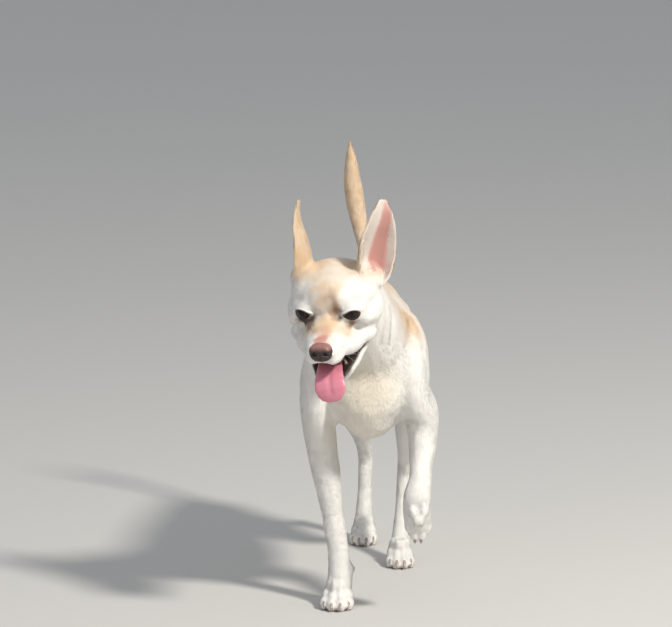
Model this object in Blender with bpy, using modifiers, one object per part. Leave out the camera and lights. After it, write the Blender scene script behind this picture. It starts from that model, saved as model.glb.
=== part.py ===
"""A smooth-coated chihuahua walking with its mouth open, at life size.

The flesh is shaped as one body from lofts and balls, remeshed, relaxed and thinned, and then parted
into a node for each part that a person would name. Eyes, nose leather and tongue are solids of their
own. The dog faces -Y, its left side is +X, and +Z is up.
"""

import math

import bmesh
import bpy
import numpy as np
from mathutils import Euler, Matrix, Vector

# Driving dimensions, in metres. Every place below is in units of 1/235 of the withers' height.
WITHERS_HEIGHT = 0.235
UNIT = WITHERS_HEIGHT / 235.0
GAP = 0.0003
LEG_FOLD = 0.75
CLAY_VOXEL = 0.0011
FLESH_TRIANGLES = 10600

# The head: where its middle lies, and how it is turned, in degrees
HEAD_AT = (-23.5, -148.0, 241.5)
HEAD_TURN = 11.5
HEAD_NOD = 19.0
HEAD_TILT = -1.0

# Face, in the head's own frame: x to the dog's left, -y forward, z up
EYE_RADIUS = 7.8
EYE_AT = (16.2, -21.0, -1.5)
EYE_OUTWARD = 22.0
LID_THICKNESS = 1.5
EYE_OPENING = (6.5, 3.9)
EYE_SLANT = 1.0
JAW_HINGE = (0.0, 0.0, -17.0)
JAW_OPEN = 22.0
MOUTH_CORNER = (27.0, -13.0, -25.4)

# Ears, in the ear's own frame: x outward, -y the way the cup opens, z up the ear
EAR_HEIGHT = 62.0
EAR_THICKNESS = 2.6
EAR_ROOT = (8.0, 15.0)

FORE_TOES = ((-8.8, -12.5), (-3.2, -18.0), (3.2, -18.0), (8.8, -12.5))
HIND_TOES = ((-7.8, -12.0), (-2.9, -17.0), (2.9, -17.0), (7.8, -12.0))
CLAW_RADIUS = 1.3
HANGING_SPREAD = 0.68

# Each ear's side, swivel outward, lean outward and tip backward in degrees, and how far out its root lies
EARS = {"ear_left": (1, 33, 14, 13, 26.8), "ear_right": (-1, 82, 7, 7, 22.5)}

# Up the ear from root to tip: the share of its height, its half width along the sheet, its half roll in degrees,
# and how far the sheet bows the way the cup opens
EAR_PROFILE = (
    (0.0, 13.5, 128, 0.0),
    (0.12, 17.5, 104, 0.0),
    (0.28, 18.0, 80, 0.2),
    (0.5, 15.6, 58, 2.0),
    (0.7, 11.6, 44, 3.9),
    (0.86, 7.4, 34, 2.6),
    (1.0, 2.6, 24, -2.0),
)

# Where each leg is parted off: its side, its inner wall, its front at the top and at the foot, its back and its height
LEG_BLOCKS = {
    "foreleg_left": (1, 3, (-170, -170), -40, 130),
    "foreleg_right": (-1, 3, (-150, -150), -40, 126),
    "hindleg_left": (1, 3, (36, 0), 108, 156),
    "hindleg_right": (-1, -8, (50, 92), 190, 156),
}

# A tooth's root (x, y, z) in its jaw's frame, its length up or down, and its radius
UPPER_TEETH = (
    (1.4, -50.5, -24.4, -3.2, 0.9),
    (3.8, -49.8, -24.2, -3.2, 0.9),
    (7.0, -46.5, -23.0, -4.4, 1.2),
    (10.4, -36.0, -22.4, -3.4, 1.5),
    (13.2, -28.0, -22.4, -3.2, 1.8),
)
LOWER_TEETH = (
    (1.3, -52.0, -25.6, 2.6, 0.8),
    (3.4, -51.6, -25.6, 2.6, 0.8),
    (6.0, -49.4, -25.4, 5.0, 1.1),
    (9.0, -37.0, -25.2, 3.8, 1.2),
    (10.8, -28.0, -24.8, 4.0, 1.5),
)

# A node's colour and roughness. Nodes that aren't named have the coat's.
SHADES = {
    "coat": ((0.86, 0.80, 0.72), 0.8),
    "tail": ((0.72, 0.52, 0.33), 0.8),
    "ear_left": ((0.80, 0.60, 0.50), 0.7),
    "ear_right": ((0.80, 0.60, 0.50), 0.7),
    "eye_left": ((0.06, 0.03, 0.02), 0.1),
    "eye_right": ((0.06, 0.03, 0.02), 0.1),
    "nose": ((0.10, 0.06, 0.05), 0.4),
    "tongue": ((0.82, 0.42, 0.46), 0.3),
}


def place_of(spot):
    """A spot in units of the dog, in metres."""
    return Vector(spot) * UNIT


def turned(x=0.0, y=0.0, z=0.0):
    """A rotation by angles in degrees about X, then Y, then Z."""
    return Euler((math.radians(x), math.radians(y), math.radians(z)), "XYZ").to_matrix().to_4x4()


def head_frame():
    """The head's own frame in the world, in metres but with its lengths in the dog's units."""
    return (
        Matrix.Translation(place_of(HEAD_AT))
        @ turned(z=-HEAD_TURN)
        @ turned(y=HEAD_TILT)
        @ turned(x=HEAD_NOD)
        @ Matrix.Scale(UNIT, 4)
    )


def body_frame():
    """The body's frame: the world, with lengths in the dog's units."""
    return Matrix.Scale(UNIT, 4)


def jaw_frame():
    """The head's frame with the lower jaw swung open about its hinge."""
    hinge = Matrix.Translation(Vector(JAW_HINGE))
    return head_frame() @ hinge @ turned(x=JAW_OPEN) @ hinge.inverted()


def ear_frame(side, swivel, lean, back, out):
    """An ear's frame: swivelled from opening forward, leaning outward and tipped back on the skull."""
    return (
        head_frame()
        @ Matrix.Translation((side * out, *EAR_ROOT))
        @ turned(y=side * lean)
        @ turned(x=-back)
        @ turned(z=side * swivel)
    )


def blended(stations, steps):
    """Stations joined by a smooth curve that runs through each of them."""
    rows = [np.array(s, float) for s in stations]
    rows = [2 * rows[0] - rows[1], *rows, 2 * rows[-1] - rows[-2]]
    curve = []
    for a, b, c, d in zip(rows, rows[1:], rows[2:], rows[3:]):
        for step in range(steps):
            t = step / steps
            curve.append(
                0.5 * (2 * b + (c - a) * t + (2 * a - 5 * b + 4 * c - d) * t**2 + (3 * b - a - 3 * c + d) * t**3)
            )
    curve.append(rows[-2])
    return curve


def add_loft(clay, frame, stations, sides=28, steps=5, keel=0.0, square=2.0):
    """A closed tube of oval rings. A station is x, y, z, half width and half depth.

    A keel above 0 narrows the rings towards the belly side, and a square above 2 fills their corners.
    """
    curve = blended(stations, steps)
    rings = []
    for i, row in enumerate(curve):
        along = Vector(curve[min(i + 1, len(curve) - 1)][:3]) - Vector(curve[max(i - 1, 0)][:3])
        along.normalize()
        across = (Vector((1, 0, 0)) - along * along.x).normalized()
        deep = along.cross(across)
        half_width, half_depth = max(row[3], 0.3), max(row[4], 0.3)
        ring = []
        for k in range(sides):
            angle = math.tau * k / sides
            c, s = math.cos(angle), math.sin(angle)
            c_full = math.copysign(abs(c) ** (2 / square), c)
            s_full = math.copysign(abs(s) ** (2 / square), s)
            spot = Vector(row[:3]) + across * half_width * c_full * (1 + keel * s_full) + deep * half_depth * s_full
            ring.append(clay.verts.new(frame @ spot))
        rings.append(ring)
    clay.faces.new(rings[0][::-1])
    clay.faces.new(rings[-1])
    for low, high in zip(rings, rings[1:]):
        for k in range(sides):
            after = (k + 1) % sides
            clay.faces.new((low[k], low[after], high[after], high[k]))


def add_ball(clay, frame, centre, radii, tilt=(0, 0, 0), segments=28):
    """An ellipsoid with its three radii, tilted by degrees about X, Y and Z."""
    ball = bmesh.new()
    matrix = frame @ Matrix.Translation(centre) @ turned(*tilt) @ Matrix.Diagonal((*radii, 1))
    bmesh.ops.create_uvsphere(ball, u_segments=segments, v_segments=segments // 2 + 2, radius=1, matrix=matrix)
    mesh = bpy.data.meshes.new("ball")
    ball.to_mesh(mesh)
    ball.free()
    clay.from_mesh(mesh)
    bpy.data.meshes.remove(mesh)


def add_pair(clay, frame, centre, radii, tilt=(0, 0, 0)):
    """The same ellipsoid on both sides."""
    for side in (1, -1):
        spot = (side * centre[0], centre[1], centre[2])
        add_ball(clay, frame, spot, radii, (tilt[0], side * tilt[1], side * tilt[2]))


def made(name, bm):
    """An object in the scene from a bmesh, with its faces pointing out."""
    bm.normal_update()
    bmesh.ops.recalc_face_normals(bm, faces=bm.faces)
    if bm.calc_volume(signed=True) < 0:
        bmesh.ops.reverse_faces(bm, faces=bm.faces)
    mesh = bpy.data.meshes.new(name)
    bm.to_mesh(mesh)
    bm.free()
    obj = bpy.data.objects.new(name, mesh)
    bpy.context.scene.collection.objects.link(obj)
    return obj


def settle(obj):
    """Applies the object's modifiers."""
    graph = bpy.context.evaluated_depsgraph_get()
    mesh = bpy.data.meshes.new_from_object(obj.evaluated_get(graph), depsgraph=graph)
    obj.modifiers.clear()
    obj.data = mesh
    return obj


def boolean(obj, other, operation):
    """Cuts, joins or meets the object with another, and applies it."""
    modifier = obj.modifiers.new(operation.lower(), "BOOLEAN")
    modifier.operation = operation
    modifier.object = other
    modifier.solver = "EXACT"
    return settle(obj)


def removed(*objects):
    """Deletes cutters and clay that have been used."""
    for obj in objects:
        bpy.data.objects.remove(obj)


def largest_surface(obj):
    """Keeps only the object's largest closed surface."""
    bm = bmesh.new()
    bm.from_mesh(obj.data)
    left, islands = set(bm.verts), []
    while left:
        edge_of_search = [left.pop()]
        island = set(edge_of_search)
        while edge_of_search:
            vertex = edge_of_search.pop()
            for edge in vertex.link_edges:
                other = edge.other_vert(vertex)
                if other in left:
                    left.discard(other)
                    island.add(other)
                    edge_of_search.append(other)
        islands.append(island)
    islands.sort(key=len)
    loose = [v for island in islands[:-1] for v in island]
    bmesh.ops.delete(bm, geom=loose, context="VERTS")
    bm.to_mesh(obj.data)
    bm.free()
    return obj


def grown_copy(obj, by):
    """A copy of the object with its surface moved out, to cut clearance round it."""
    bm = bmesh.new()
    bm.from_mesh(obj.data)
    bm.normal_update()
    for vertex in bm.verts:
        vertex.co += vertex.normal * by
    return made(obj.name + "_clearance", bm)


def block(point, direction, size, grow=0.0):
    """A box that starts at a point and reaches along a direction. Its size is its reach, width and height."""
    direction = Vector(direction).normalized()
    start = Vector(point) - direction * grow
    reach, width, height = (length + 2 * grow for length in size)
    matrix = (
        Matrix.Translation(start + direction * reach / 2)
        @ direction.to_track_quat("Z", "Y").to_matrix().to_4x4()
        @ Matrix.Diagonal((width, height, reach, 1))
    )
    bm = bmesh.new()
    bmesh.ops.create_cube(bm, size=1, matrix=matrix)
    return made("block", bm)


def leg_block(side, inner_wall, front, back, height_at_20, grow=0.0):
    """A box round a leg, from its inner wall outwards, whose top slants up with the fold of the limb.

    The front is given at the top and at the foot.
    """
    inner, outer = inner_wall * UNIT - grow, 75 * UNIT
    bm = bmesh.new()
    cube = bmesh.ops.create_cube(bm, size=1)["verts"]
    for vertex in cube:
        across = inner if vertex.co.x < 0 else outer
        top = height_at_20 * UNIT + LEG_FOLD * (across - 20 * UNIT) + grow * math.hypot(1, LEG_FOLD)
        height = top if vertex.co.z > 0 else -0.03
        along = front[0 if vertex.co.z > 0 else 1] * UNIT - grow if vertex.co.y < 0 else back * UNIT + grow
        vertex.co = (side * across, along, height)
    return made("leg_block", bm)


def part_off(body, name, region):
    """Takes a region off the body as a node of its own, a thin gap away from the rest.

    The region is a function of how far its solid is grown.
    """
    node = body.copy()
    node.data = body.data.copy()
    node.name = name
    bpy.context.scene.collection.objects.link(node)
    inner, outer = region(0.0), region(GAP)
    boolean(node, inner, "INTERSECT")
    boolean(body, outer, "DIFFERENCE")
    removed(inner, outer)
    largest_surface(node)
    largest_surface(body)
    return node


def add_torso(clay):
    """Chest, ribs, loin and croup, with the muscles that lie on them."""
    frame = body_frame()
    add_loft(
        clay,
        frame,
        (
            (0, -122, 170, 10, 12),
            (0, -114, 169, 25, 29),
            (0, -98, 172, 35, 42),
            (0, -72, 177, 38, 53),
            (-0.5, -42, 178, 39, 54.5),
            (-1, -10, 179, 38.5, 51),
            (-1, 22, 182, 36.5, 45),
            (-1, 54, 185, 32, 38),
            (0, 84, 187, 28.5, 34.5),
            (0, 108, 190, 24.5, 29),
            (0, 122, 192, 17, 20),
            (0, 128, 192, 8, 9),
        ),
        sides=36,
        keel=0.16,
    )
    add_ball(clay, frame, (0, -92, 152), (24, 30, 27), (-12, 0, 0))
    add_ball(clay, frame, (0, -55, 214), (17, 36, 17), (6, 0, 0))
    add_pair(clay, frame, (18.5, 92, 183), (13.5, 30, 20))


def add_neck(clay):
    """The neck, from deep in the shoulders to the back of the skull."""
    add_loft(
        clay,
        body_frame(),
        (
            (0, -62, 178, 30, 42),
            (-1, -84, 197, 32, 40),
            (-5, -104, 213, 30, 34.5),
            (-11, -121, 227, 27, 29),
            (-16, -134, 238, 25, 25),
            (-19, -144, 246, 22, 20),
        ),
        sides=32,
        square=2.15,
    )


def toes_of(name):
    """The toes of a leg's paw, as x and tip. They lie closer together on the paw that hangs."""
    toes = FORE_TOES if name.startswith("fore") else HIND_TOES
    spread = HANGING_SPREAD if name == "foreleg_left" else 1.0
    return [(x * spread, tip) for x, tip in toes]


def add_fore_leg(clay, name, stations):
    """A fore leg down to its wrist, with the paw under it."""
    add_loft(clay, body_frame(), stations)
    add_paw(clay, paws()[name], toes_of(name), 4.35)


def add_hind_leg(clay, name, stations, heel):
    """A hind leg down to its foot, with the point of the hock behind it."""
    add_loft(clay, body_frame(), stations)
    add_ball(clay, body_frame(), heel, (4.8, 5.6, 8.0), (-12, 0, 0))
    add_paw(clay, paws()[name], toes_of(name), 4.0)


def add_paw(clay, frame, toes, toe_radius):
    """Four toes with their pads, and the heel pad behind them."""
    add_ball(clay, frame, (0, 3.5, 9.5), (9.2, 9.5, 8.5))
    add_ball(clay, frame, (0, 2.0, 3.6), (7.6, 6.6, 4.6))
    for x, tip in toes:
        splay = -x * 1.3
        add_ball(clay, frame, (x * 0.68, tip + 14.5, 15.5), (toe_radius * 0.84, 5.6, 7.4), (34, 0, splay))
        add_ball(clay, frame, (x * 0.86, tip + 9.5, 9.6), (toe_radius * 0.98, 7.0, toe_radius + 0.6), (24, 0, splay))
        add_ball(clay, frame, (x, tip + 3.0, 5.6), (toe_radius, 6.2, toe_radius + 0.2), (12, 0, splay))
        add_ball(clay, frame, (x, tip + 2.6, 2.4), (toe_radius * 0.8, 4.4, 3.2))


def paw_frame(at, yaw=0.0, pitch=0.0):
    """A paw's frame: its heel over the spot, its toes towards -Y, turned and pitched in degrees."""
    return body_frame() @ Matrix.Translation(at) @ turned(z=yaw) @ turned(x=pitch)


def paws():
    """Each paw's frame. The right fore and both hind paws stand, and the left fore paw hangs."""
    return {
        "foreleg_right": paw_frame((-22.5, -98, -0.7), yaw=-3),
        "foreleg_left": paw_frame((36.8, -119.5, 75.5), yaw=2, pitch=78),
        "hindleg_right": paw_frame((-7.5, 128, -0.7), yaw=-2),
        "hindleg_left": paw_frame((22, 46, -0.7), yaw=3),
    }


def add_legs(clay):
    """The four legs in mid stride."""
    add_fore_leg(
        clay,
        "foreleg_right",
        (
            (-17, -58, 214, 8, 13),
            (-28, -67, 202, 12.5, 20),
            (-36, -82, 176, 14.5, 25),
            (-38, -88, 154, 14, 24),
            (-37, -82, 134, 13, 20),
            (-35, -76, 116, 12, 15.5),
            (-32, -77, 98, 11.2, 12.2),
            (-29, -80, 80, 9.2, 9.6),
            (-26.6, -82, 66, 8.5, 8.2),
            (-25, -84, 55, 8.8, 8.6),
            (-22.8, -87, 43, 8.2, 7.5),
            (-21.2, -91, 29, 9.0, 7.6),
            (-21.0, -94, 17, 9.6, 8.5),
            (-21.6, -95, 9, 8.6, 8.3),
        ),
    )
    add_ball(clay, body_frame(), (-12.2, -90, 27), (3.0, 3.6, 4.6))
    add_fore_leg(
        clay,
        "foreleg_left",
        (
            (16, -60, 211, 8, 13),
            (26, -69, 201, 12, 20),
            (30.5, -86, 180, 13.5, 24),
            (33, -93, 162, 13.0, 22),
            (39, -89, 146, 13.6, 19),
            (40, -91, 132, 12, 15.8),
            (39.8, -101, 119, 10.4, 12.4),
            (39, -113, 108, 8.8, 9.8),
            (38.2, -123, 99, 9.2, 8.8),
            (36.6, -128.5, 91, 10.4, 9.0),
            (35.8, -128.5, 84, 10.2, 7.6),
            (36.0, -126.0, 77, 10.0, 7.2),
            (36.4, -123, 70, 9.8, 7.4),
        ),
    )
    add_hind_leg(
        clay,
        "hindleg_right",
        (
            (-14, 88, 198, 9, 15),
            (-22, 90, 186, 12.5, 26),
            (-28, 91, 172, 14.8, 33),
            (-28.5, 90, 149, 14, 29),
            (-24.5, 93, 128, 12.2, 21),
            (-17.5, 106, 109, 9.6, 13.5),
            (-11.5, 122, 92, 7.2, 9.8),
            (-8.0, 136, 78, 6.3, 8.0),
            (-6.6, 143, 67, 6.7, 7.8),
            (-6.6, 142, 52, 6.1, 6.4),
            (-7.0, 139, 35, 6.4, 6.4),
            (-7.4, 134, 20, 7.6, 7.6),
            (-7.5, 131, 10, 8.0, 8.0),
        ),
        (-6.8, 147.5, 73),
    )
    add_hind_leg(
        clay,
        "hindleg_left",
        (
            (13.5, 86, 198, 8.5, 15),
            (20.5, 80, 186, 12, 26),
            (27.5, 71, 172, 14.8, 33),
            (31, 58, 149, 14.2, 29),
            (30.4, 50, 128, 13.2, 20.5),
            (28.4, 56, 109, 11.4, 13.5),
            (27, 66, 91, 8.2, 9.8),
            (26, 75, 76, 6.5, 8.0),
            (25.4, 78, 65, 6.6, 7.8),
            (24.2, 72, 49, 6.0, 6.4),
            (23.2, 64, 33, 6.3, 6.4),
            (22.4, 56, 19, 7.6, 7.6),
            (22, 50, 10, 8.0, 8.0),
        ),
        (26.4, 83.5, 70),
    )


def add_tail(clay):
    """The tail, carried upright and swung to the dog's right, slim at its root and plumed above."""
    add_loft(
        clay,
        body_frame(),
        (
            (0, 108, 200, 11, 11),
            (-0.5, 121, 210, 8.8, 9),
            (-3.5, 130, 222, 6.4, 7.0),
            (-7.8, 136, 238, 6.0, 6.8),
            (-11.6, 140, 255, 7.2, 8.2),
            (-14.6, 141, 271, 8.2, 9.0),
            (-16.8, 140, 287, 7.8, 8.4),
            (-18.0, 137.5, 302, 6.0, 6.6),
            (-18.6, 135, 314, 3.7, 4.0),
            (-18.9, 133, 323, 1.4, 1.5),
        ),
        sides=24,
    )


def add_head(clay):
    """Skull, brows, cheeks, muzzle and upper lips."""
    frame = head_frame()
    add_ball(clay, frame, (0, 6, 0.5), (33, 32, 22.5))
    add_pair(clay, frame, (13, 1, 3), (19, 25, 18))
    add_ball(clay, frame, (0, -10, 4.5), (25, 19.5, 17))
    add_ball(clay, frame, (0, 27, -4), (21, 15, 18))
    add_pair(clay, frame, (21.0, -1, -9), (14.4, 21.5, 14.4))
    add_pair(clay, frame, (17.0, -15.5, -1.5), (12.5, 11.5, 10.0))
    add_pair(clay, frame, (23.5, -13.5, -7.5), (9.0, 10.5, 8.5))
    add_pair(clay, frame, (11.5, -18.6, 4.6), (8.0, 5.6, 3.6), (0, -4, 0))
    add_pair(clay, frame, EYE_AT, (EYE_RADIUS + LID_THICKNESS,) * 3)
    add_pair(clay, frame, (22, 10, 14), (9.5, 10, 8))
    add_pair(clay, frame, (16.0, 4, 13.4), (10, 14, 8.8), (0, 10, 0))
    add_pair(clay, frame, (27.5, 9, 8.5), (7.0, 9.5, 9.5))
    add_loft(
        clay,
        frame,
        (
            (0, -12, -9, 21, 14.0),
            (0, -24, -11.2, 18.5, 12.0),
            (0, -34, -15.0, 16.0, 10.6),
            (0, -44, -18.0, 13.8, 9.4),
            (0, -52, -19.6, 12.0, 8.2),
            (0, -56, -20.4, 9.4, 6.4),
        ),
        square=2.3,
    )
    add_pair(clay, frame, (8.4, -45.5, -23.6), (6.4, 11.5, 5.8), (4, 0, -8))
    add_pair(clay, frame, (17.2, -30, -22.8), (6.6, 14.5, 7.4), (0, 0, -26))
    add_pair(clay, frame, (24.2, -16.5, -22.2), (6.4, 11.5, 6.6), (-10, 0, -32))
    add_ball(clay, frame, (0, 8, -20), (20, 20, 14))
    add_pair(clay, frame, (18, 4, -19), (10, 12.5, 11))


def add_lower_jaw(clay):
    """The lower jaw, swung open."""
    frame = jaw_frame()
    add_loft(
        clay,
        frame,
        (
            (0, 8, -24, 21, 9.5),
            (0.6, -6, -25.4, 24.5, 9.0),
            (1.4, -18, -26.8, 24.0, 7.6),
            (2.0, -31, -28.0, 19.6, 6.4),
            (2.2, -42, -28.2, 15.0, 5.4),
            (2.0, -50, -27.4, 11.2, 4.6),
            (2.0, -54, -27.0, 7.8, 3.2),
        ),
        square=2.5,
    )


def add_ear(clay, frame):
    """An ear: a sheet rolled into a cup at its root, opening and flattening to a rounded tip."""
    rows, columns = 22, 20
    shape = blended(EAR_PROFILE, 8)
    heights = [row[0] for row in shape]
    grid = bmesh.ops.create_grid(clay, x_segments=columns, y_segments=rows, size=0.5)["verts"]
    for vertex in grid:
        share = vertex.co.y + 0.5
        half = np.interp(share, heights, [row[1] for row in shape])
        roll = math.radians(np.interp(share, heights, [row[2] for row in shape]))
        around = vertex.co.x * 2 * roll
        radius = half / roll
        bow = np.interp(share, heights, [row[3] for row in shape])
        vertex.co = frame @ Vector(
            (
                radius * math.sin(around),
                radius * math.cos(around) - radius * 0.6 - bow,
                EAR_HEIGHT * share - 7.0,
            )
        )
    clay.normal_update()
    faces = list({face for vertex in grid for face in vertex.link_faces})
    bmesh.ops.solidify(clay, geom=faces + grid, thickness=EAR_THICKNESS * UNIT)
    add_ball(clay, frame, (0, 7.5, -4), (9.5, 8.0, 9.5))


def weigh(obj, name, spots):
    """A vertex group that has a strength at each spot and fades to 0 at its radius."""
    count = len(obj.data.vertices)
    points = np.empty(count * 3)
    obj.data.vertices.foreach_get("co", points)
    points = points.reshape(-1, 3)
    weight = np.zeros(count)
    for spot, radius, strength in spots:
        distance = np.linalg.norm(points - np.array(spot), axis=1) / radius
        weight = np.maximum(weight, strength * np.clip(1 - distance**2, 0, 1))
    group = obj.vertex_groups.new(name=name)
    for level in range(1, 11):
        found = np.nonzero(np.round(weight * 10) == level)[0]
        if len(found):
            group.add(found.tolist(), level / 10, "REPLACE")
    return group


def relax(obj, spots, repeats, factor=0.5):
    """Smooths the surface round the spots, so that one form runs into the next."""
    group = weigh(obj, "relax", [(spot, radius, 1.0) for spot, radius in spots])
    modifier = obj.modifiers.new("relax", "SMOOTH")
    modifier.factor = factor
    modifier.iterations = repeats
    modifier.vertex_group = group.name
    settle(obj)
    obj.vertex_groups.clear()


def push(obj, frame, strokes):
    """Moves the surface as a thumb would. A stroke is a spot, a radius and a shift, in the frame's units."""
    count = len(obj.data.vertices)
    points = np.empty(count * 3)
    obj.data.vertices.foreach_get("co", points)
    points = points.reshape(-1, 3)
    turn = frame.to_3x3()
    for spot, radius, shift in strokes:
        centre = np.array(frame @ Vector(spot))
        distance = np.linalg.norm(points - centre, axis=1) / (radius * UNIT)
        fade = np.clip(1 - distance**2, 0, 1) ** 2
        points += fade[:, None] * np.array(turn @ Vector(shift))
    obj.data.vertices.foreach_set("co", points.ravel())
    obj.data.update()


def both_sides(strokes):
    """Each stroke with its mirror image."""
    mirrored = [((-x, y, z), radius, (-a, b, c)) for (x, y, z), radius, (a, b, c) in strokes]
    return [*strokes, *mirrored]


def flesh():
    """The whole dog but for eyes, nose leather, tongue, teeth and claws, as one dense closed mesh."""
    clay = bmesh.new()
    add_torso(clay)
    add_neck(clay)
    add_legs(clay)
    add_tail(clay)
    add_head(clay)
    add_lower_jaw(clay)
    for stance in EARS.values():
        add_ear(clay, ear_frame(*stance))
    body = made("flesh", clay)
    remesh = body.modifiers.new("clay", "REMESH")
    remesh.mode = "VOXEL"
    remesh.voxel_size = CLAY_VOXEL
    settle(body)
    everywhere = [(Vector((0, 0, 0.15)), 2.0)]
    relax(body, everywhere, 3)
    head = head_frame()
    joints = [
        ((0, -96, 190), 66),
        ((-26, -62, 204), 34),
        ((26, -62, 204), 34),
        ((0, -112, 168), 36),
        ((0, -70, 160), 50),
        ((-36, -84, 140), 34),
        ((40, -92, 150), 34),
        ((-24, 92, 172), 50),
        ((24, 84, 172), 50),
        ((0, 96, 206), 44),
        ((0, 30, 150), 60),
        ((0, 112, 204), 26),
        ((-14, -126, 232), 38),
    ]
    relax(body, [(place_of(spot), radius * UNIT) for spot, radius in joints], 90)
    face = [((0, -22, 4), 28), ((18, 4, -12), 24), ((-18, 4, -12), 24), ((0, 2, 16), 34), ((0, -6, -30), 20)]
    relax(body, [(head @ Vector(spot), radius * UNIT) for spot, radius in face], 14)
    corners = [((side * x, y, z), r) for x, y, z, r in ((23, -14, -22, 16), (24, -3, -20, 15)) for side in (1, -1)]
    relax(body, [(head @ Vector(spot), radius * UNIT) for spot, radius in corners], 16)
    around_eyes = [(head @ Vector((side * 19, -24, -2)), 17 * UNIT) for side in (1, -1)]
    relax(body, around_eyes, 6)
    relax(body, [(frame @ Vector((0, 2, 8)), 22 * UNIT) for frame in paws().values()], 6)
    push(
        body,
        head,
        both_sides(
            [
                ((8.5, -29, -3.5), 8, (0, 2.4, -0.6)),
                ((17, -28, -11), 8, (0, 1.4, 0)),
                ((3, -30, 8), 8, (0, 0.9, 0)),
                ((30, -16, -2), 9, (-1.4, 0.6, 0)),
                ((11, -40, -9), 8, (-0.9, 0, -0.5)),
            ]
        ),
    )
    relax(body, [(head @ Vector((0, -30, -6)), 30 * UNIT)], 3)
    return body


def thin(body):
    """Thins the flesh to the faces that its form needs, with more of them on the head and the paws."""
    head = head_frame()
    kept = [(head @ Vector((0, -28, -8)), 42 * UNIT, 0.7)]
    kept += [(head @ Vector((side * 30, 10, 46)), 60 * UNIT, 0.5) for side in (1, -1)]
    kept += [(frame @ Vector((0, -6, 6)), 24 * UNIT, 0.8) for frame in paws().values()]
    kept += [(place_of((-14, 140, 265)), 90 * UNIT, 0.3)]
    group = weigh(body, "kept", kept)
    modifier = body.modifiers.new("thin", "DECIMATE")
    triangles = sum(len(face.vertices) - 2 for face in body.data.polygons)
    modifier.ratio = FLESH_TRIANGLES / triangles
    modifier.vertex_group = group.name
    modifier.invert_vertex_group = True
    modifier.vertex_group_factor = 0.05
    modifier.use_collapse_triangulate = True
    settle(body)
    body.vertex_groups.clear()
    return body


def eye_solid(name, side):
    """An eyeball."""
    bm = bmesh.new()
    centre = (side * EYE_AT[0], EYE_AT[1], EYE_AT[2])
    add_ball(bm, head_frame(), centre, (EYE_RADIUS,) * 3, segments=16)
    return made(name, bm)


def lid_cutter(side):
    """The almond opening between the lids, as a prism from the eye's middle outwards."""
    steps = 14
    half_width, half_height = EYE_OPENING
    bm = bmesh.new()
    outline = []
    for k in range(2 * steps):
        share = 1 - 2 * (k % steps) / steps if k < steps else -1 + 2 * (k % steps) / steps
        height = half_height * (1 - share * share) ** 0.8
        outline.append(bm.verts.new((share * half_width, 0, height if k < steps else -height)))
    face = bm.faces.new(outline)
    far = bmesh.ops.extrude_face_region(bm, geom=[face])["geom"]
    bmesh.ops.translate(bm, vec=(0, -22, 0), verts=[v for v in far if isinstance(v, bmesh.types.BMVert)])
    bmesh.ops.recalc_face_normals(bm, faces=bm.faces)
    frame = (
        head_frame()
        @ Matrix.Translation((side * EYE_AT[0], EYE_AT[1], EYE_AT[2]))
        @ turned(z=side * EYE_OUTWARD)
        @ turned(y=-side * EYE_SLANT)
    )
    bmesh.ops.transform(bm, matrix=frame, verts=bm.verts)
    return made("lid_cutter", bm)


def nose_solid():
    """The nose leather: a rounded block with a comma-shaped nostril on each side."""
    bm = bmesh.new()
    add_ball(bm, Matrix.Identity(4), (0, 0, 0), (1, 1, 1), segments=18)
    frame = head_frame() @ Matrix.Translation((0, -54.3, -17.4)) @ turned(x=-8)
    half = Vector((8.4, 5.6, 6.3))
    fill = 0.72
    for vertex in bm.verts:
        full = Vector([math.copysign(abs(c) ** fill, c) for c in vertex.co])
        taper = 1 - 0.16 * max(0.0, -full.z)
        vertex.co = frame @ Vector((full.x * half.x * taper, full.y * half.y, full.z * half.z))
    nose = made("nose", bm)
    for side in (1, -1):
        cutter = bmesh.new()
        add_ball(cutter, frame, (side * 3.6, -5.2, 0.2), (1.9, 2.4, 1.7), segments=16)
        add_ball(cutter, frame, (side * 6.2, -4.6, -1.0), (2.4, 2.0, 0.8), (0, 0, 0), segments=16)
        nostril = made("nostril", cutter)
        remesh = nostril.modifiers.new("fuse", "REMESH")
        remesh.mode = "VOXEL"
        remesh.voxel_size = 0.0009
        settle(nostril)
        boolean(nose, nostril, "DIFFERENCE")
        removed(nostril)
    return largest_surface(nose)


def tongue_solid():
    """The tongue: broad and thin, lying along the lower jaw and hanging over its front."""
    bm = bmesh.new()
    add_loft(
        bm,
        jaw_frame(),
        (
            (0, -8, -19.8, 6.6, 2.4),
            (0, -18, -20.6, 7.6, 2.4),
            (0.5, -31, -21.2, 8.4, 2.3),
            (1.2, -42, -21.4, 9.0, 2.2),
            (2.2, -51, -21.4, 10.2, 2.1),
            (3.2, -57.6, -22.2, 11.4, 2.0),
            (4.0, -61.4, -24.8, 11.6, 1.9),
            (4.8, -64.0, -27.8, 10.6, 1.8),
            (5.6, -65.8, -30.6, 8.0, 1.7),
            (6.0, -66.8, -32.4, 4.4, 1.3),
        ),
        sides=16,
        steps=1,
    )
    return made("tongue", bm)


def mouth_cutter():
    """The hollow of the mouth, between the palate and the floor of the lower jaw."""
    bm = bmesh.new()
    add_loft(
        bm,
        head_frame(),
        (
            (0, -58, -39.0, 10.0, 9.6),
            (0.4, -47, -36.0, 15.5, 9.6),
            (0.8, -37, -33.6, 22.0, 7.6),
            (0.8, -27, -31.0, 28.0, 5.2),
            (0.5, -19, -28.8, 31.0, 3.4),
            (0, -11, -26.4, 31.0, 2.0),
        ),
        sides=20,
        steps=1,
    )
    return made("mouth_cutter", bm)


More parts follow.
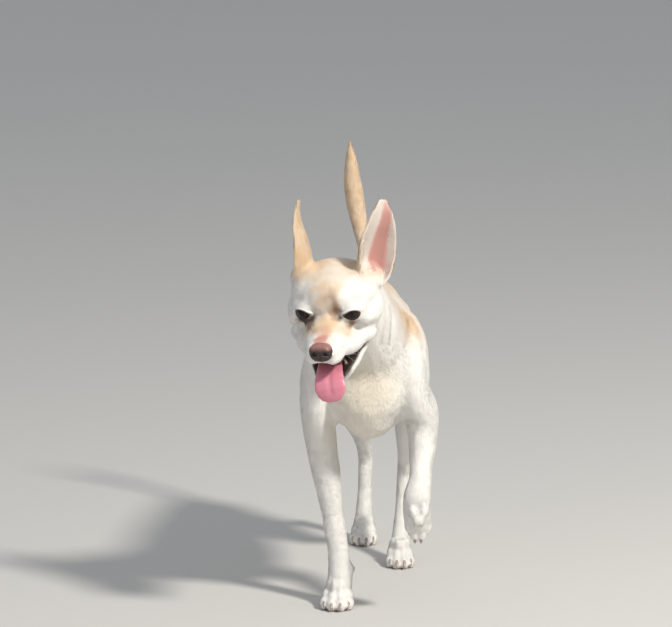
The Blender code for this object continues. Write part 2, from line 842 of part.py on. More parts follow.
def add_teeth(node, frame, rows):
    """Fuses small cones to a jaw. A row is x, y, z of the root, the length and the radius."""
    for x, y, z, length, radius in rows:
        for side in (1, -1):
            bm = bmesh.new()
            bmesh.ops.create_cone(
                bm,
                cap_ends=True,
                segments=5,
                radius1=radius,
                radius2=radius * 0.2,
                depth=abs(length),
                matrix=frame @ Matrix.Translation((side * x, y, z + length / 2)) @ turned(x=180 if length < 0 else 0),
            )
            tooth = made("tooth", bm)
            boolean(node, tooth, "UNION")
            removed(tooth)
    return largest_surface(node)


def add_claws(node, frame, toes):
    """Fuses a curved claw to each toe of a paw."""
    for x, tip in toes:
        bm = bmesh.new()
        add_loft(
            bm,
            frame,
            (
                (x, tip + 1.6, 6.6, CLAW_RADIUS, CLAW_RADIUS * 1.2),
                (x, tip - 1.4, 6.2, CLAW_RADIUS, CLAW_RADIUS * 1.15),
                (x, tip - 3.2, 4.8, CLAW_RADIUS * 0.7, CLAW_RADIUS * 0.85),
                (x, tip - 4.2, 3.0, 0.3, 0.35),
            ),
            sides=6,
            steps=1,
        )
        claw = made("claw", bm)
        boolean(node, claw, "UNION")
        removed(claw)
    return largest_surface(node)


def split(body):
    """Parts the flesh into its named nodes. What is left of it is the torso."""
    frame = head_frame()
    turn = frame.to_3x3().normalized()
    nodes = {}

    def node_from(source, name, region):
        nodes[name] = part_off(source, name, region)

    behind_skull, to_face = place_of((-12, -117, 228)), (-0.2, -0.88, 0.42)
    node_from(body, "head", lambda grow: block(behind_skull, to_face, (0.13, 0.2, 0.2), grow))
    before_shoulder, up_neck = place_of((-3, -97, 206)), (-0.2, -0.7, 0.68)
    node_from(body, "neck", lambda grow: block(before_shoulder, up_neck, (0.08, 0.12, 0.12), grow))
    above_rump, up_tail = place_of((-3.6, 130.5, 223)), (-0.15, 0.3, 0.94)
    node_from(body, "tail", lambda grow: block(above_rump, up_tail, (0.13, 0.11, 0.11), grow))
    for name, box in LEG_BLOCKS.items():
        node_from(body, name, lambda grow, b=box: leg_block(*b, grow))
    for name, stance in EARS.items():
        root = ear_frame(*stance) @ Vector((0, 0, 6))
        up_ear = turn @ Vector((stance[0] * 0.42, 0.1, 0.9))
        node_from(nodes["head"], name, lambda grow, r=root, u=up_ear: block(r, u, (0.09, 0.062, 0.062), grow))
    half_open = turned(x=JAW_OPEN * 0.6).to_3x3()
    corner = Vector(MOUTH_CORNER)
    middle = frame @ (Vector((0, corner.y, corner.z)) + half_open @ Vector((0, -38, 0)))
    down = turn @ half_open @ Vector((0, 0, -1))
    node_from(nodes["head"], "lower_jaw", lambda grow: block(middle, down, (0.045, 0.06, 0.076), grow))
    body.name = "torso"
    nodes["torso"] = body
    return nodes


def finish_face(nodes):
    """Cuts the sockets, lids, nose seat and mouth, and sets eyes, nose, tongue and teeth in them."""
    head, jaw = nodes["head"], nodes["lower_jaw"]
    for name, side in (("eye_left", 1), ("eye_right", -1)):
        eye = eye_solid(name, side)
        for cutter in (grown_copy(eye, GAP), lid_cutter(side)):
            boolean(head, cutter, "DIFFERENCE")
            removed(cutter)
        nodes[name] = eye
    nodes["nose"] = nose_solid()
    seat = grown_copy(nodes["nose"], GAP)
    boolean(head, seat, "DIFFERENCE")
    hollow = mouth_cutter()
    boolean(head, hollow, "DIFFERENCE")
    boolean(jaw, hollow, "DIFFERENCE")
    add_teeth(head, head_frame(), UPPER_TEETH)
    add_teeth(jaw, jaw_frame(), LOWER_TEETH)
    nodes["tongue"] = tongue_solid()
    channel = grown_copy(nodes["tongue"], GAP)
    boolean(head, channel, "DIFFERENCE")
    boolean(jaw, channel, "DIFFERENCE")
    removed(seat, hollow, channel)
    largest_surface(head)
    largest_surface(jaw)


def whole_flats(node):
    """Makes each sole that stands one flat face."""
    bm = bmesh.new()
    bm.from_mesh(node.data)
    bm.normal_update()
    soles = [f for f in bm.faces if f.normal.z < -0.999 and abs(f.calc_center_median().z) < 1e-6]
    bmesh.ops.dissolve_faces(bm, faces=soles)
    bm.to_mesh(node.data)
    bm.free()


def finish_feet(nodes):
    """Fuses the claws to the feet and levels the soles that stand."""
    for name, frame in paws().items():
        add_claws(nodes[name], frame, toes_of(name))
        below = block((0, 0, 0), (0, 0, -1), (0.03, 0.6, 0.6))
        boolean(nodes[name], below, "DIFFERENCE")
        removed(below)
        largest_surface(nodes[name])
        whole_flats(nodes[name])


def centre_on_floor(nodes):
    """Moves the dog so that the origin is under the middle of its bounding box."""
    corners = [np.array(v.co) for node in nodes.values() for v in node.data.vertices]
    low, high = np.min(corners, axis=0), np.max(corners, axis=0)
    shift = Vector((-(low[0] + high[0]) / 2, -(low[1] + high[1]) / 2, -low[2]))
    for node in nodes.values():
        node.data.transform(Matrix.Translation(shift))


def colour(nodes):
    """Gives each node its own material, with the colour of its coat or skin."""
    for name, node in nodes.items():
        shade, roughness = SHADES.get(name, SHADES["coat"])
        material = bpy.data.materials.new(name)
        material.use_nodes = True
        surface = material.node_tree.nodes["Principled BSDF"]
        surface.inputs["Base Color"].default_value = (*shade, 1)
        surface.inputs["Roughness"].default_value = roughness
        surface.inputs["Metallic"].default_value = 0.0
        node.data.materials.clear()
        node.data.materials.append(material)


def main():
    for obj in list(bpy.data.objects):
        bpy.data.objects.remove(obj)
    body = thin(flesh())
    nodes = split(body)
    finish_face(nodes)
    finish_feet(nodes)
    centre_on_floor(nodes)
    colour(nodes)
    collection = bpy.data.collections.new("chihuahua")
    bpy.context.scene.collection.children.link(collection)
    for node in nodes.values():
        bpy.context.scene.collection.objects.unlink(node)
        collection.objects.link(node)


main()
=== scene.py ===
"""A smooth-coated chihuahua, life size, in mid stride: skin, coat, eyes, nose, tongue, teeth, claws and whiskers."""

import logging
import math
from dataclasses import dataclass
from enum import Enum

import bmesh
import bpy
import numpy as np
from mathutils import Euler, Matrix, Vector
from mathutils.bvhtree import BVHTree


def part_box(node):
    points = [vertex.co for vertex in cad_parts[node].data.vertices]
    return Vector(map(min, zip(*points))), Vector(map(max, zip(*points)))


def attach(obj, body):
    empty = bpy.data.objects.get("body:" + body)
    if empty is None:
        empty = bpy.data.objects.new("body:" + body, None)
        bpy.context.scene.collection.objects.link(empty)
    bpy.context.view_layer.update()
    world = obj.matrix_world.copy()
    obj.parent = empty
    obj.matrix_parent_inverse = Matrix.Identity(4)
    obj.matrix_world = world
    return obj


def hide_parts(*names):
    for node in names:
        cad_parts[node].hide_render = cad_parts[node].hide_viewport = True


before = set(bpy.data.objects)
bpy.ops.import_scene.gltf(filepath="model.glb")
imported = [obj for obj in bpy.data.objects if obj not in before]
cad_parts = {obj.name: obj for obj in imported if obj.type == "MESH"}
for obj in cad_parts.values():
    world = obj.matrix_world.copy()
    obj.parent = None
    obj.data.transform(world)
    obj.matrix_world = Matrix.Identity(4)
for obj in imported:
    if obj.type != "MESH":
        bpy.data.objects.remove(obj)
LOG = logging.getLogger("chihuahua")
MM = 0.001
IMAGE = (672, 627)
Array = np.ndarray
Triple = tuple[float, float, float]


class Mark(Enum):
    """A marking, or painted shade, that skin and coat share, by the name of its attribute."""

    FAWN = "fawn"
    # tan_and_shade: brown tear stains, and painted shade in the brow furrow and under the eyes
    TAN = "tan_and_shade"
    # cream_and_shade: cream hair, and painted warm shade on the chest and belly
    CREAM_AND_SHADE = "cream_and_shade"
    # fold_shade: painted shade on the lid folds above the eyes and in the neck's creases
    FOLD_SHADE = "fold_shade"
    BARE = "bare"
    # dark pigment of rims, lips, pads and tear stains, and painted shade round the dog's right eye and under the nose
    DARK = "dark"
    MOUTH = "mouth"


class Part(Enum):
    """A frame in which places on the dog are given."""

    BODY = "body"
    HEAD = "head"
    JAW = "jaw"
    EAR_LEFT = "ear_left"
    EAR_RIGHT = "ear_right"
    FORE_LEFT = "foreleg_left"
    FORE_RIGHT = "foreleg_right"
    HIND_LEFT = "hindleg_left"
    HIND_RIGHT = "hindleg_right"


PAWS = (Part.FORE_LEFT, Part.FORE_RIGHT, Part.HIND_LEFT, Part.HIND_RIGHT)
FLESH = (
    "head",
    "lower_jaw",
    "ear_left",
    "ear_right",
    "neck",
    "torso",
    "tail",
    "foreleg_left",
    "foreleg_right",
    "hindleg_left",
    "hindleg_right",
)
BURIED = ("eye_left", "eye_right")


def turned(x: float = 0.0, y: float = 0.0, z: float = 0.0) -> Matrix:
    """A turn by angles in degrees about X, then Y, then Z."""
    return Euler((math.radians(x), math.radians(y), math.radians(z)), "XYZ").to_matrix().to_4x4()


def ramp(values: Array, low: float, high: float) -> Array:
    """A smooth step of the values, 0 at low and 1 at high."""
    t = np.clip((values - low) / (high - low), 0.0, 1.0)
    return t * t * (3.0 - 2.0 * t)


def unit(vectors: Array) -> Array:
    """The vectors at length 1."""
    return vectors / np.maximum(np.linalg.norm(vectors, axis=-1, keepdims=True), 1e-12)


def ripple(points: Array, size: float, seed: int) -> Array:
    """A smooth pattern between about -1 and 1.

    Args:
        points: Places in metres.
        size: The pattern's wavelength in metres.
        seed: Picks one of many patterns.

    Returns:
        One value a point.
    """
    rng = np.random.default_rng(seed)
    total = np.zeros(len(points))
    for _ in range(7):
        way = rng.normal(size=3)
        way *= 2 * math.pi / (size * np.linalg.norm(way)) * rng.uniform(0.6, 1.6)
        total += np.sin(points @ way + rng.uniform(0, 2 * math.pi))
    return total / 2.6


@dataclass(frozen=True)
class Anatomy:
    """Where the dog's parts lie, as its solids were laid out, with lengths in millimetres."""

    head_at: Triple = (-23.5, -148.0, 241.5)
    head_turn: float = 11.5
    head_nod: float = 19.0
    head_tilt: float = -1.0
    eye_at: Triple = (16.2, -21.0, -1.5)
    eye_radius: float = 7.8
    eye_outward: float = 22.0
    eye_slant: float = 1.0
    eye_opening: tuple[float, float] = (5.9, 3.1)
    jaw_hinge: Triple = (0.0, 0.0, -17.0)
    jaw_open: float = 22.0
    ear_root: tuple[float, float] = (8.0, 15.0)
    ear_height: float = 62.0
    nose_at: Triple = (0.0, -54.3, -17.4)
    hanging_spread: float = 0.68

    def shift(self) -> Matrix:
        """The move from the layout's origin to the part's, read from the left eye's solid."""
        low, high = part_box("eye_left")
        return Matrix.Translation((low + high) / 2 - self.plain_head() @ Vector(self.eye_at))

    def plain_head(self) -> Matrix:
        """The head's frame before the move to the part's origin."""
        place = Matrix.Translation(Vector(self.head_at) * MM)
        turn = turned(z=-self.head_turn) @ turned(y=self.head_tilt) @ turned(x=self.head_nod)
        return place @ turn @ Matrix.Scale(MM, 4)

    def body(self) -> Matrix:
        """The body's frame."""
        return self.shift() @ Matrix.Scale(MM, 4)

    def head(self) -> Matrix:
        """The head's frame: x to the dog's left, -y forward, z up."""
        return self.shift() @ self.plain_head()

    def jaw(self) -> Matrix:
        """The head's frame swung open about the jaw's hinge."""
        hinge = Matrix.Translation(Vector(self.jaw_hinge))
        return self.head() @ hinge @ turned(x=self.jaw_open) @ hinge.inverted()

    def ear(self, part: Part) -> Matrix:
        """An ear's frame: x outward, -y the way its cup opens, z up the ear."""
        side, swivel, lean, back, out = (1, 33, 14, 13, 26.8) if part is Part.EAR_LEFT else (-1, 82, 7, 7, 22.5)
        turn = turned(y=side * lean) @ turned(x=-back) @ turned(z=side * swivel)
        return self.head() @ Matrix.Translation((side * out, *self.ear_root)) @ turn

    def paw(self, part: Part) -> Matrix:
        """A paw's frame: its heel over the origin, its toes towards -y."""
        at, yaw, pitch = {
            Part.FORE_RIGHT: ((-22.5, -98, -0.7), -3, 0),
            Part.FORE_LEFT: ((36.8, -119.5, 75.5), 2, 78),
            Part.HIND_RIGHT: ((-7.5, 128, -0.7), -2, 0),
            Part.HIND_LEFT: ((22, 46, -0.7), 3, 0),
        }[part]
        return self.body() @ Matrix.Translation(at) @ turned(z=yaw) @ turned(x=pitch)

    def toes(self, part: Part) -> list[tuple[float, float]]:
        """Each toe's x and the y of its tip, in the paw's frame."""
        fore = part in (Part.FORE_LEFT, Part.FORE_RIGHT)
        toes = ((-8.8, -12.5), (-3.2, -18.0), (3.2, -18.0), (8.8, -12.5))
        if not fore:
            toes = ((-7.8, -12.0), (-2.9, -17.0), (2.9, -17.0), (7.8, -12.0))
        spread = self.hanging_spread if part is Part.FORE_LEFT else 1.0
        return [(x * spread, tip) for x, tip in toes]

    def eye(self, side: int) -> Matrix:
        """An eye's frame: its middle at the origin, looking along -y."""
        x, y, z = self.eye_at
        turn = turned(z=side * self.eye_outward) @ turned(y=-side * self.eye_slant)
        return self.head() @ Matrix.Translation((side * x, y, z)) @ turn

    def of(self, part: Part) -> Matrix:
        """The frame of a part."""
        if part is Part.BODY:
            return self.body()
        if part is Part.HEAD:
            return self.head()
        if part is Part.JAW:
            return self.jaw()
        if part in (Part.EAR_LEFT, Part.EAR_RIGHT):
            return self.ear(part)
        return self.paw(part)


def placed(matrix: Matrix, spots: Array) -> Array:
    """The spots carried from a frame to the world."""
    m = np.array(matrix)
    return np.asarray(spots, float) @ m[:3, :3].T + m[:3, 3]


def local(matrix: Matrix, points: Array) -> Array:
    """World points in a frame's own lengths."""
    return placed(matrix.inverted(), points)


class Shell:
    """A mesh's points and edges as arrays, with a sculptor's moves on them."""

    def __init__(self, obj: bpy.types.Object) -> None:
        """Reads the object's mesh.

        Args:
            obj: The object to shape.
        """
        self.obj = obj
        mesh = obj.data
        flat = np.empty(len(mesh.vertices) * 3)
        mesh.vertices.foreach_get("co", flat)
        self.points = flat.reshape(-1, 3)
        edges = np.empty(len(mesh.edges) * 2, np.int32)
        mesh.edges.foreach_get("vertices", edges)
        self.edges = edges.reshape(-1, 2)
        self.degree = np.maximum(np.bincount(edges, minlength=len(self.points)), 1).astype(float)

    def around(self, values: Array) -> Array:
        """The mean of each vertex's neighbours."""
        if values.ndim == 2:
            return np.stack([self.around(column) for column in values.T], axis=1)
        a, b = self.edges.T
        count = len(self.degree)
        return (np.bincount(a, values[b], count) + np.bincount(b, values[a], count)) / self.degree

    def spread(self, values: Array, repeats: int, weight: Array | float = 0.5) -> Array:
        """Values smoothed over the surface.

        Args:
            values: One value or row a vertex.
            repeats: How many times each takes from its neighbours.
            weight: How much it takes, from 0 to 1.

        Returns:
            The smoothed values.
        """
        if values.ndim == 2 and isinstance(weight, np.ndarray):
            weight = weight[:, None]
        for _ in range(repeats):
            values = values + weight * (self.around(values) - values)
        return values

    def write(self) -> None:
        """Writes the points back to the mesh."""
        self.obj.data.vertices.foreach_set("co", self.points.ravel())
        self.obj.data.update()

    def normals(self) -> Array:
        """The normal at each vertex."""
        self.write()
        flat = np.empty(len(self.points) * 3)
        self.obj.data.vertex_normals.foreach_get("vector", flat)
        return flat.reshape(-1, 3)

    def push(self, matrix: Matrix, strokes: list[tuple[Triple, float, Triple]]) -> None:
        """Moves the surface as a thumb would.

        Args:
            matrix: The frame of the strokes.
            strokes: A spot, a radius and a shift each, in the frame's lengths.
        """
        turn = np.array(matrix)[:3, :3]
        scale = np.linalg.norm(turn[:, 0])
        for spot, radius, shift in strokes:
            distance = np.linalg.norm(self.points - placed(matrix, spot), axis=1) / (radius * scale)
            fade = np.clip(1 - distance**2, 0, 1) ** 2
            self.points += fade[:, None] * (turn @ np.array(shift, float))

    def triangles(self) -> Array:
        """The mesh's triangles as vertex numbers."""
        mesh = self.obj.data
        mesh.calc_loop_triangles()
        flat = np.empty(len(mesh.loop_triangles) * 3, np.int32)
        mesh.loop_triangles.foreach_get("vertices", flat)
        return flat.reshape(-1, 3)


def settle(obj: bpy.types.Object) -> None:
    """Applies the object's modifiers to its mesh."""
    graph = bpy.context.evaluated_depsgraph_get()
    old = obj.data
    obj.data = bpy.data.meshes.new_from_object(obj.evaluated_get(graph))
    obj.modifiers.clear()
    bpy.data.meshes.remove(old)


def linked(name: str, mesh: bpy.types.Mesh) -> bpy.types.Object:
    """A new object of the mesh, in the scene."""
    obj = bpy.data.objects.new(name, mesh)
    bpy.context.scene.collection.objects.link(obj)
    return obj


def made(name: str, bm: bmesh.types.BMesh) -> bpy.types.Object:
    """An object of what a bmesh holds, with its faces turned outwards."""
    bmesh.ops.recalc_face_normals(bm, faces=bm.faces)
    mesh = bpy.data.meshes.new(name)
    bm.to_mesh(mesh)
    bm.free()
    return linked(name, mesh)


def built(name: str, points: Array, faces: Array) -> bpy.types.Object:
    """An object of many small things, from arrays.

    Args:
        name: The object's name.
        points: Its points in metres.
        faces: Its triangles as vertex numbers.

    Returns:
        The object.
    """
    mesh = bpy.data.meshes.new(name)
    mesh.vertices.add(len(points))
    mesh.vertices.foreach_set("co", np.ascontiguousarray(points, np.float32).ravel())
    mesh.loops.add(faces.size)
    mesh.loops.foreach_set("vertex_index", np.ascontiguousarray(faces, np.int32).ravel())
    mesh.polygons.add(len(faces))
    mesh.polygons.foreach_set("loop_start", np.arange(0, faces.size, 3, dtype=np.int32))
    mesh.update(calc_edges=True)
    mesh.validate()
    return linked(name, mesh)


def smooth_shaded(obj: bpy.types.Object) -> None:
    """Shades the object's faces as one smooth surface."""
    obj.data.polygons.foreach_set("use_smooth", np.ones(len(obj.data.polygons), bool))
    obj.data.update()


def store(obj: bpy.types.Object, name: str, values: Array) -> None:
    """Keeps one value a vertex as an attribute of the mesh."""
    found = obj.data.attributes.get(name) or obj.data.attributes.new(name, "FLOAT", "POINT")
    found.data.foreach_set("value", np.ascontiguousarray(values, np.float32))


def solid_copy(names: tuple[str, ...], grow: float) -> bmesh.types.BMesh:
    """Copies of solids in one bmesh, each merged and grown a little.

    Args:
        names: The solids' nodes.
        grow: How far each face moves out, in metres.

    Returns:
        The bmesh.
    """
    whole = bmesh.new()
    for name in names:
        part = bmesh.new()
        part.from_mesh(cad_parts[name].data)
        bmesh.ops.remove_doubles(part, verts=part.verts, dist=1e-6)
        part.normal_update()
        for vertex in part.verts:
            vertex.co += vertex.normal * grow
        mesh = bpy.data.meshes.new("grown")
        part.to_mesh(mesh)
        part.free()
        whole.from_mesh(mesh)
        bpy.data.meshes.remove(mesh)
    return whole


def clay(name: str, bm: bmesh.types.BMesh, voxel: float) -> bpy.types.Object:
    """One closed surface round all that a bmesh holds."""
    mesh = bpy.data.meshes.new(name)
    bm.to_mesh(mesh)
    bm.free()
    obj = linked(name, mesh)
    remesh = obj.modifiers.new("clay", "REMESH")
    remesh.mode = "VOXEL"
    remesh.voxel_size = voxel
    settle(obj)
    return obj


class Solids:
    """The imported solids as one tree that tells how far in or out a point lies, and on which node."""

    def __init__(self, names: tuple[str, ...]) -> None:
        """Builds the tree.

        Args:
            names: The nodes it holds.
        """
        points, faces, owner = [], [], []
        start = 0
        for number, name in enumerate(names):
            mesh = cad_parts[name].data
            mesh.calc_loop_triangles()
            points += [v.co.copy() for v in mesh.vertices]
            faces += [tuple(start + i for i in t.vertices) for t in mesh.loop_triangles]
            owner += [number] * len(mesh.loop_triangles)
            start += len(mesh.vertices)
        self.names = names
        self.owner = np.array(owner)
        self.tree = BVHTree.FromPolygons(points, faces)

    def measure(self, points: Array) -> tuple[Array, Array]:
        """How far each point lies outside the solids, and the number of the nearest node."""
        depth, label = np.empty(len(points)), np.empty(len(points), int)
        for i, point in enumerate(points):
            near, normal, index, distance = self.tree.find_nearest(point)
            outside = (Vector(point) - near).dot(normal) >= 0
            depth[i] = distance if outside else -distance
            label[i] = self.owner[index]
        return depth, label


@dataclass(frozen=True)
class Spot:
    """A soft patch of a marking or of painted shade: where it lies, how far it reaches and how strong it is."""

    mark: Mark
    part: Part
    at: Triple
    reach: Triple
    amount: float
    both: bool = False

    def strength(self, where: dict[Part, Array], wobble: Array) -> Array:
        """The patch's strength at each point.

        Args:
            where: The points in each part's frame.
            wobble: A pattern that frays its edge.

        Returns:
            One value a point.
        """
        found = np.zeros(len(wobble))
        for side in (1, -1) if self.both else (1,):
            middle = np.array(self.at) * (side, 1, 1)
            distance = np.linalg.norm((where[self.part] - middle) / np.array(self.reach), axis=1)
            found = np.maximum(found, self.amount * ramp(-distance + 0.12 * wobble, -1.25, -0.35))
        return found


B, H, J = Part.BODY, Part.HEAD, Part.JAW
SPOTS = (
    # Painted shade in the brow furrow beside the eyes (first two) and under both eyes, over the tear stains at the
    # inner corners; darkest on the dog's right side.
    Spot(Mark.TAN, H, (6.4, -28.5, 1.5), (4.8, 5.5, 7.5), 0.9),
    Spot(Mark.TAN, H, (3.8, -26, 12), (5.0, 6, 10.5), 0.36),
    Spot(Mark.TAN, H, (15.5, -27.5, -8.6), (8.6, 4.6, 4.0), 0.95),
    Spot(Mark.TAN, H, (-17.0, -28.0, -7.5), (9.0, 5.5, 5.2), 1.0),
    Spot(Mark.TAN, H, (-11.0, -33.5, -7.0), (5.0, 8, 6.5), 0.95),
    Spot(Mark.FAWN, H, (-1, -24, 11), (13, 12, 14), 0.6),
    Spot(Mark.FAWN, H, (1, -37, -5), (13, 15, 9), 0.85),
    Spot(Mark.FAWN, H, (13, -32, -11), (12, 9, 7.5), 0.62, True),
    Spot(Mark.FAWN, H, (0, -14, 20), (15, 17, 11), 0.34),
    Spot(Mark.FAWN, H, (0, 12, 20), (27, 21, 12), 0.42),
    Spot(Mark.FAWN, H, (24, 12, 17), (12, 13, 11), 0.4, True),
    Spot(Mark.FAWN, B, (6, -100, 238), (27, 26, 17), 0.45),
    Spot(Mark.FAWN, B, (27, -82, 218), (19, 32, 24), 0.9),
    Spot(Mark.FAWN, B, (0, -50, 238), (34, 50, 24), 0.78),
    Spot(Mark.FAWN, B, (0, 10, 235), (40, 62, 28), 0.8),
    Spot(Mark.FAWN, B, (0, 84, 222), (36, 50, 26), 0.8),
    Spot(Mark.FAWN, B, (34, -36, 204), (18, 46, 28), 0.62, True),
    Spot(Mark.FAWN, B, (32, 60, 196), (20, 46, 28), 0.5, True),
    # Painted shade: warm cream on the chest under the head and along the belly.
    Spot(Mark.CREAM_AND_SHADE, B, (-4, -120, 168), (28, 26, 36), 0.7),
    Spot(Mark.CREAM_AND_SHADE, B, (0, -60, 126), (34, 74, 20), 0.7),
    Spot(Mark.CREAM_AND_SHADE, H, (0, -30, 22), (26, 22, 12), 0.3),
    # Painted shade: grey on the lid folds above the eyes and along the creases of the neck.
    Spot(Mark.FOLD_SHADE, H, (20, -21, 8.0), (8.0, 6, 3.2), 0.22, True),
    Spot(Mark.FOLD_SHADE, B, (12.6, -131, 236), (1.7, 5, 9), 0.4),
    Spot(Mark.FOLD_SHADE, B, (12.9, -134, 223), (1.7, 5, 9), 0.4),
    Spot(Mark.FOLD_SHADE, B, (10.5, -133, 209), (1.7, 5, 9), 0.32),
    Spot(Mark.BARE, H, (0, -50.8, -10.4), (8.4, 6.6, 4.8), 0.92),
    Spot(Mark.BARE, H, (0.5, -43.0, -8.4), (7.0, 10, 5.2), 0.45),
    Spot(Mark.DARK, H, (9.4, -28.6, -3.6), (2.6, 3.2, 2.6), 0.75),
    Spot(Mark.DARK, H, (-9.8, -29.0, -4.6), (3.4, 3.8, 4.0), 0.9),
    # Tear stain round the dog's right eye, darkened further as painted shade.
    Spot(Mark.DARK, H, (-15.0, -28.5, -6.6), (8.6, 5.5, 4.6), 0.92),
    Spot(Mark.DARK, H, (16.2, -28.0, -5.6), (7.2, 3.6, 1.9), 0.6),
    # Painted shade in the groove between the nose and the upper lip.
    Spot(Mark.DARK, H, (0, -56.0, -24.4), (1.8, 4.6, 3.8), 0.6),
)


class Markings:
    """The pattern that skin and coat share, painted shade included."""

    def __init__(self, anatomy: Anatomy) -> None:
        """Keeps the dog's layout.

        Args:
            anatomy: Where the parts lie.
        """
        self.anatomy = anatomy

    def at(self, points: Array, normals: Array, labels: Array, names: tuple[str, ...]) -> dict[Mark, Array]:
        """The strength of each marking and of each painted shade.

        Args:
            points: Places on the skin.
            normals: The skin's normals there.
            labels: The number of the node that each lies on.
            names: The nodes by number.

        Returns:
            The markings by kind, one value a point.
        """
        where = {part: local(self.anatomy.of(part), points) for part in Part}
        wobble = ripple(points, 0.009, 3) + 0.6 * ripple(points, 0.004, 4)
        found = {mark: np.zeros(len(points)) for mark in Mark}
        for spot in SPOTS:
            found[spot.mark] = 1 - (1 - found[spot.mark]) * (1 - spot.strength(where, wobble))
        on = {name: labels == number for number, name in enumerate(names)}
        fawn = found[Mark.FAWN]
        tail = where[B][:, 2]
        fawn[on["tail"]] = (0.62 + 0.22 * ramp(tail, 225, 260) + 0.08 * wobble)[on["tail"]]
        for part in (Part.EAR_LEFT, Part.EAR_RIGHT):
            inner, pink = self.ear_inside(part, points, normals)
            x, y, height = where[part].T
            root = ramp(height, -9, 6) * (1 - ramp(np.hypot(x / 25, y / 21), 0.7, 1.1))
            share = np.where(on[part.value], 1.0, root * on["head"])
            fawn += share * ((0.82 + 0.08 * wobble) * (1 - inner) + 0.06 * inner - fawn)
            found[Mark.CREAM_AND_SHADE] = np.maximum(found[Mark.CREAM_AND_SHADE], 0.3 * share * inner)
            found[Mark.BARE] = np.maximum(found[Mark.BARE], share * inner * pink)
        self.mouth(found, where, on)
        self.pads(found, where, on, normals)
        return found

    def ear_inside(self, part: Part, points: Array, normals: Array) -> tuple[Array, Array]:
        """How far each point faces into an ear's cup, and how pink the cup is there: pink skin, deeper along the
        channel as painted shade.
        """
        matrix = self.anatomy.ear(part)
        spots = local(matrix, points)
        facing = normals @ unit(np.array(matrix)[:3, :3].T).T
        share = np.clip((spots[:, 2] + 7) / self.anatomy.ear_height, 0, 1)
        half = np.interp(share, (0, 0.12, 0.28, 0.5, 0.7, 0.86, 1), (13.5, 17.5, 18, 15.6, 11.6, 7.4, 2.6))
        roll = np.radians(np.interp(share, (0, 0.12, 0.28, 0.5, 0.7, 0.86, 1), (128, 104, 80, 58, 44, 34, 24)))
        bow = np.interp(share, (0, 0.28, 0.5, 0.7, 0.86, 1), (0, 0.2, 2, 3.9, 2.6, -2))
        radius = half / roll
        middle = np.stack([np.zeros(len(spots)), -0.6 * radius - bow, spots[:, 2]], axis=1)
        inward = unit((middle - spots) * (1, 1, 0))
        inner = ramp((facing * inward).sum(axis=1), -0.1, 0.45) * ramp(spots[:, 2], -10, 2)
        # Painted shade: the cup's pink deepens along the ear's channel.
        channel_shade = 1 - ramp(np.abs(spots[:, 0] - 3.5) / (8.0 - 0.09 * spots[:, 2]), 0.55, 1.35)
        return inner, (0.30 + 0.66 * channel_shade) * (1 - 0.5 * ramp(spots[:, 2], 42, 60))

    def mouth(self, found: dict[Mark, Array], where: dict[Part, Array], on: dict[str, Array]) -> None:
        """Marks the mouth's lining and the dark edge of the lips."""
        spots = where[H]
        y = spots[:, 1]
        rows = (-58, -47, -37, -27, -19, -11)
        aside = np.interp(y, rows, (0, 0.4, 0.8, 0.8, 0.5, 0))
        middle = np.interp(y, rows, (-39.0, -36.0, -33.6, -31.0, -28.8, -26.4))
        wide = np.interp(y, rows, (10.0, 15.5, 22.0, 28.0, 31.0, 31.0))
        high = np.interp(y, rows, (9.6, 9.6, 7.6, 5.2, 3.4, 2.0))
        ring = np.hypot((spots[:, 0] - aside) / wide, (spots[:, 2] - middle) / high)
        face = on["head"] | on["lower_jaw"]
        reach = face & (y < -9) & (y > -58)
        lining = 1 - ramp(ring, 1.02, 1.12)
        found[Mark.MOUTH][reach] = lining[reach]
        edge = np.where(on["lower_jaw"], 1 - ramp(ring, 1.20, 1.36), 0.7 * (1 - ramp(ring, 1.05, 1.14)))
        found[Mark.DARK][reach] = np.maximum(found[Mark.DARK], edge)[reach]

    def pads(
        self, found: dict[Mark, Array], where: dict[Part, Array], on: dict[str, Array], normals: Array
    ) -> None:
        """Marks the pads under the paws and the pink between the toes."""
        for paw in PAWS:
            spots = where[paw]
            down = -(normals @ unit(np.array(self.anatomy.paw(paw))[:3, :3].T)[2])
            here = on[paw.value] & (spots[:, 2] < 12) & (spots[:, 1] < 14)
            under = ramp(down, 0.35, 0.75) * (1 - ramp(spots[:, 2], 4.5, 7.5)) * (1 - ramp(spots[:, 1], 3.5, 8.0))
            found[Mark.DARK][here] = np.maximum(found[Mark.DARK], under * 0.9)[here]
            found[Mark.BARE][here] = np.maximum(found[Mark.BARE], under)[here]
            cleft = np.zeros(len(spots))
            toes = self.anatomy.toes(paw)
            for (a, tip_a), (b, tip_b) in zip(toes, toes[1:]):
                middle = np.array(((a + b) / 2, max(tip_a, tip_b) + 3.0, 5.0))
                cleft = np.maximum(cleft, 1 - ramp(np.linalg.norm((spots - middle) / (1.5, 6, 5), axis=1), 0.4, 1.1))
            found[Mark.BARE][here] = np.maximum(found[Mark.BARE], 0.55 * cleft)[here]


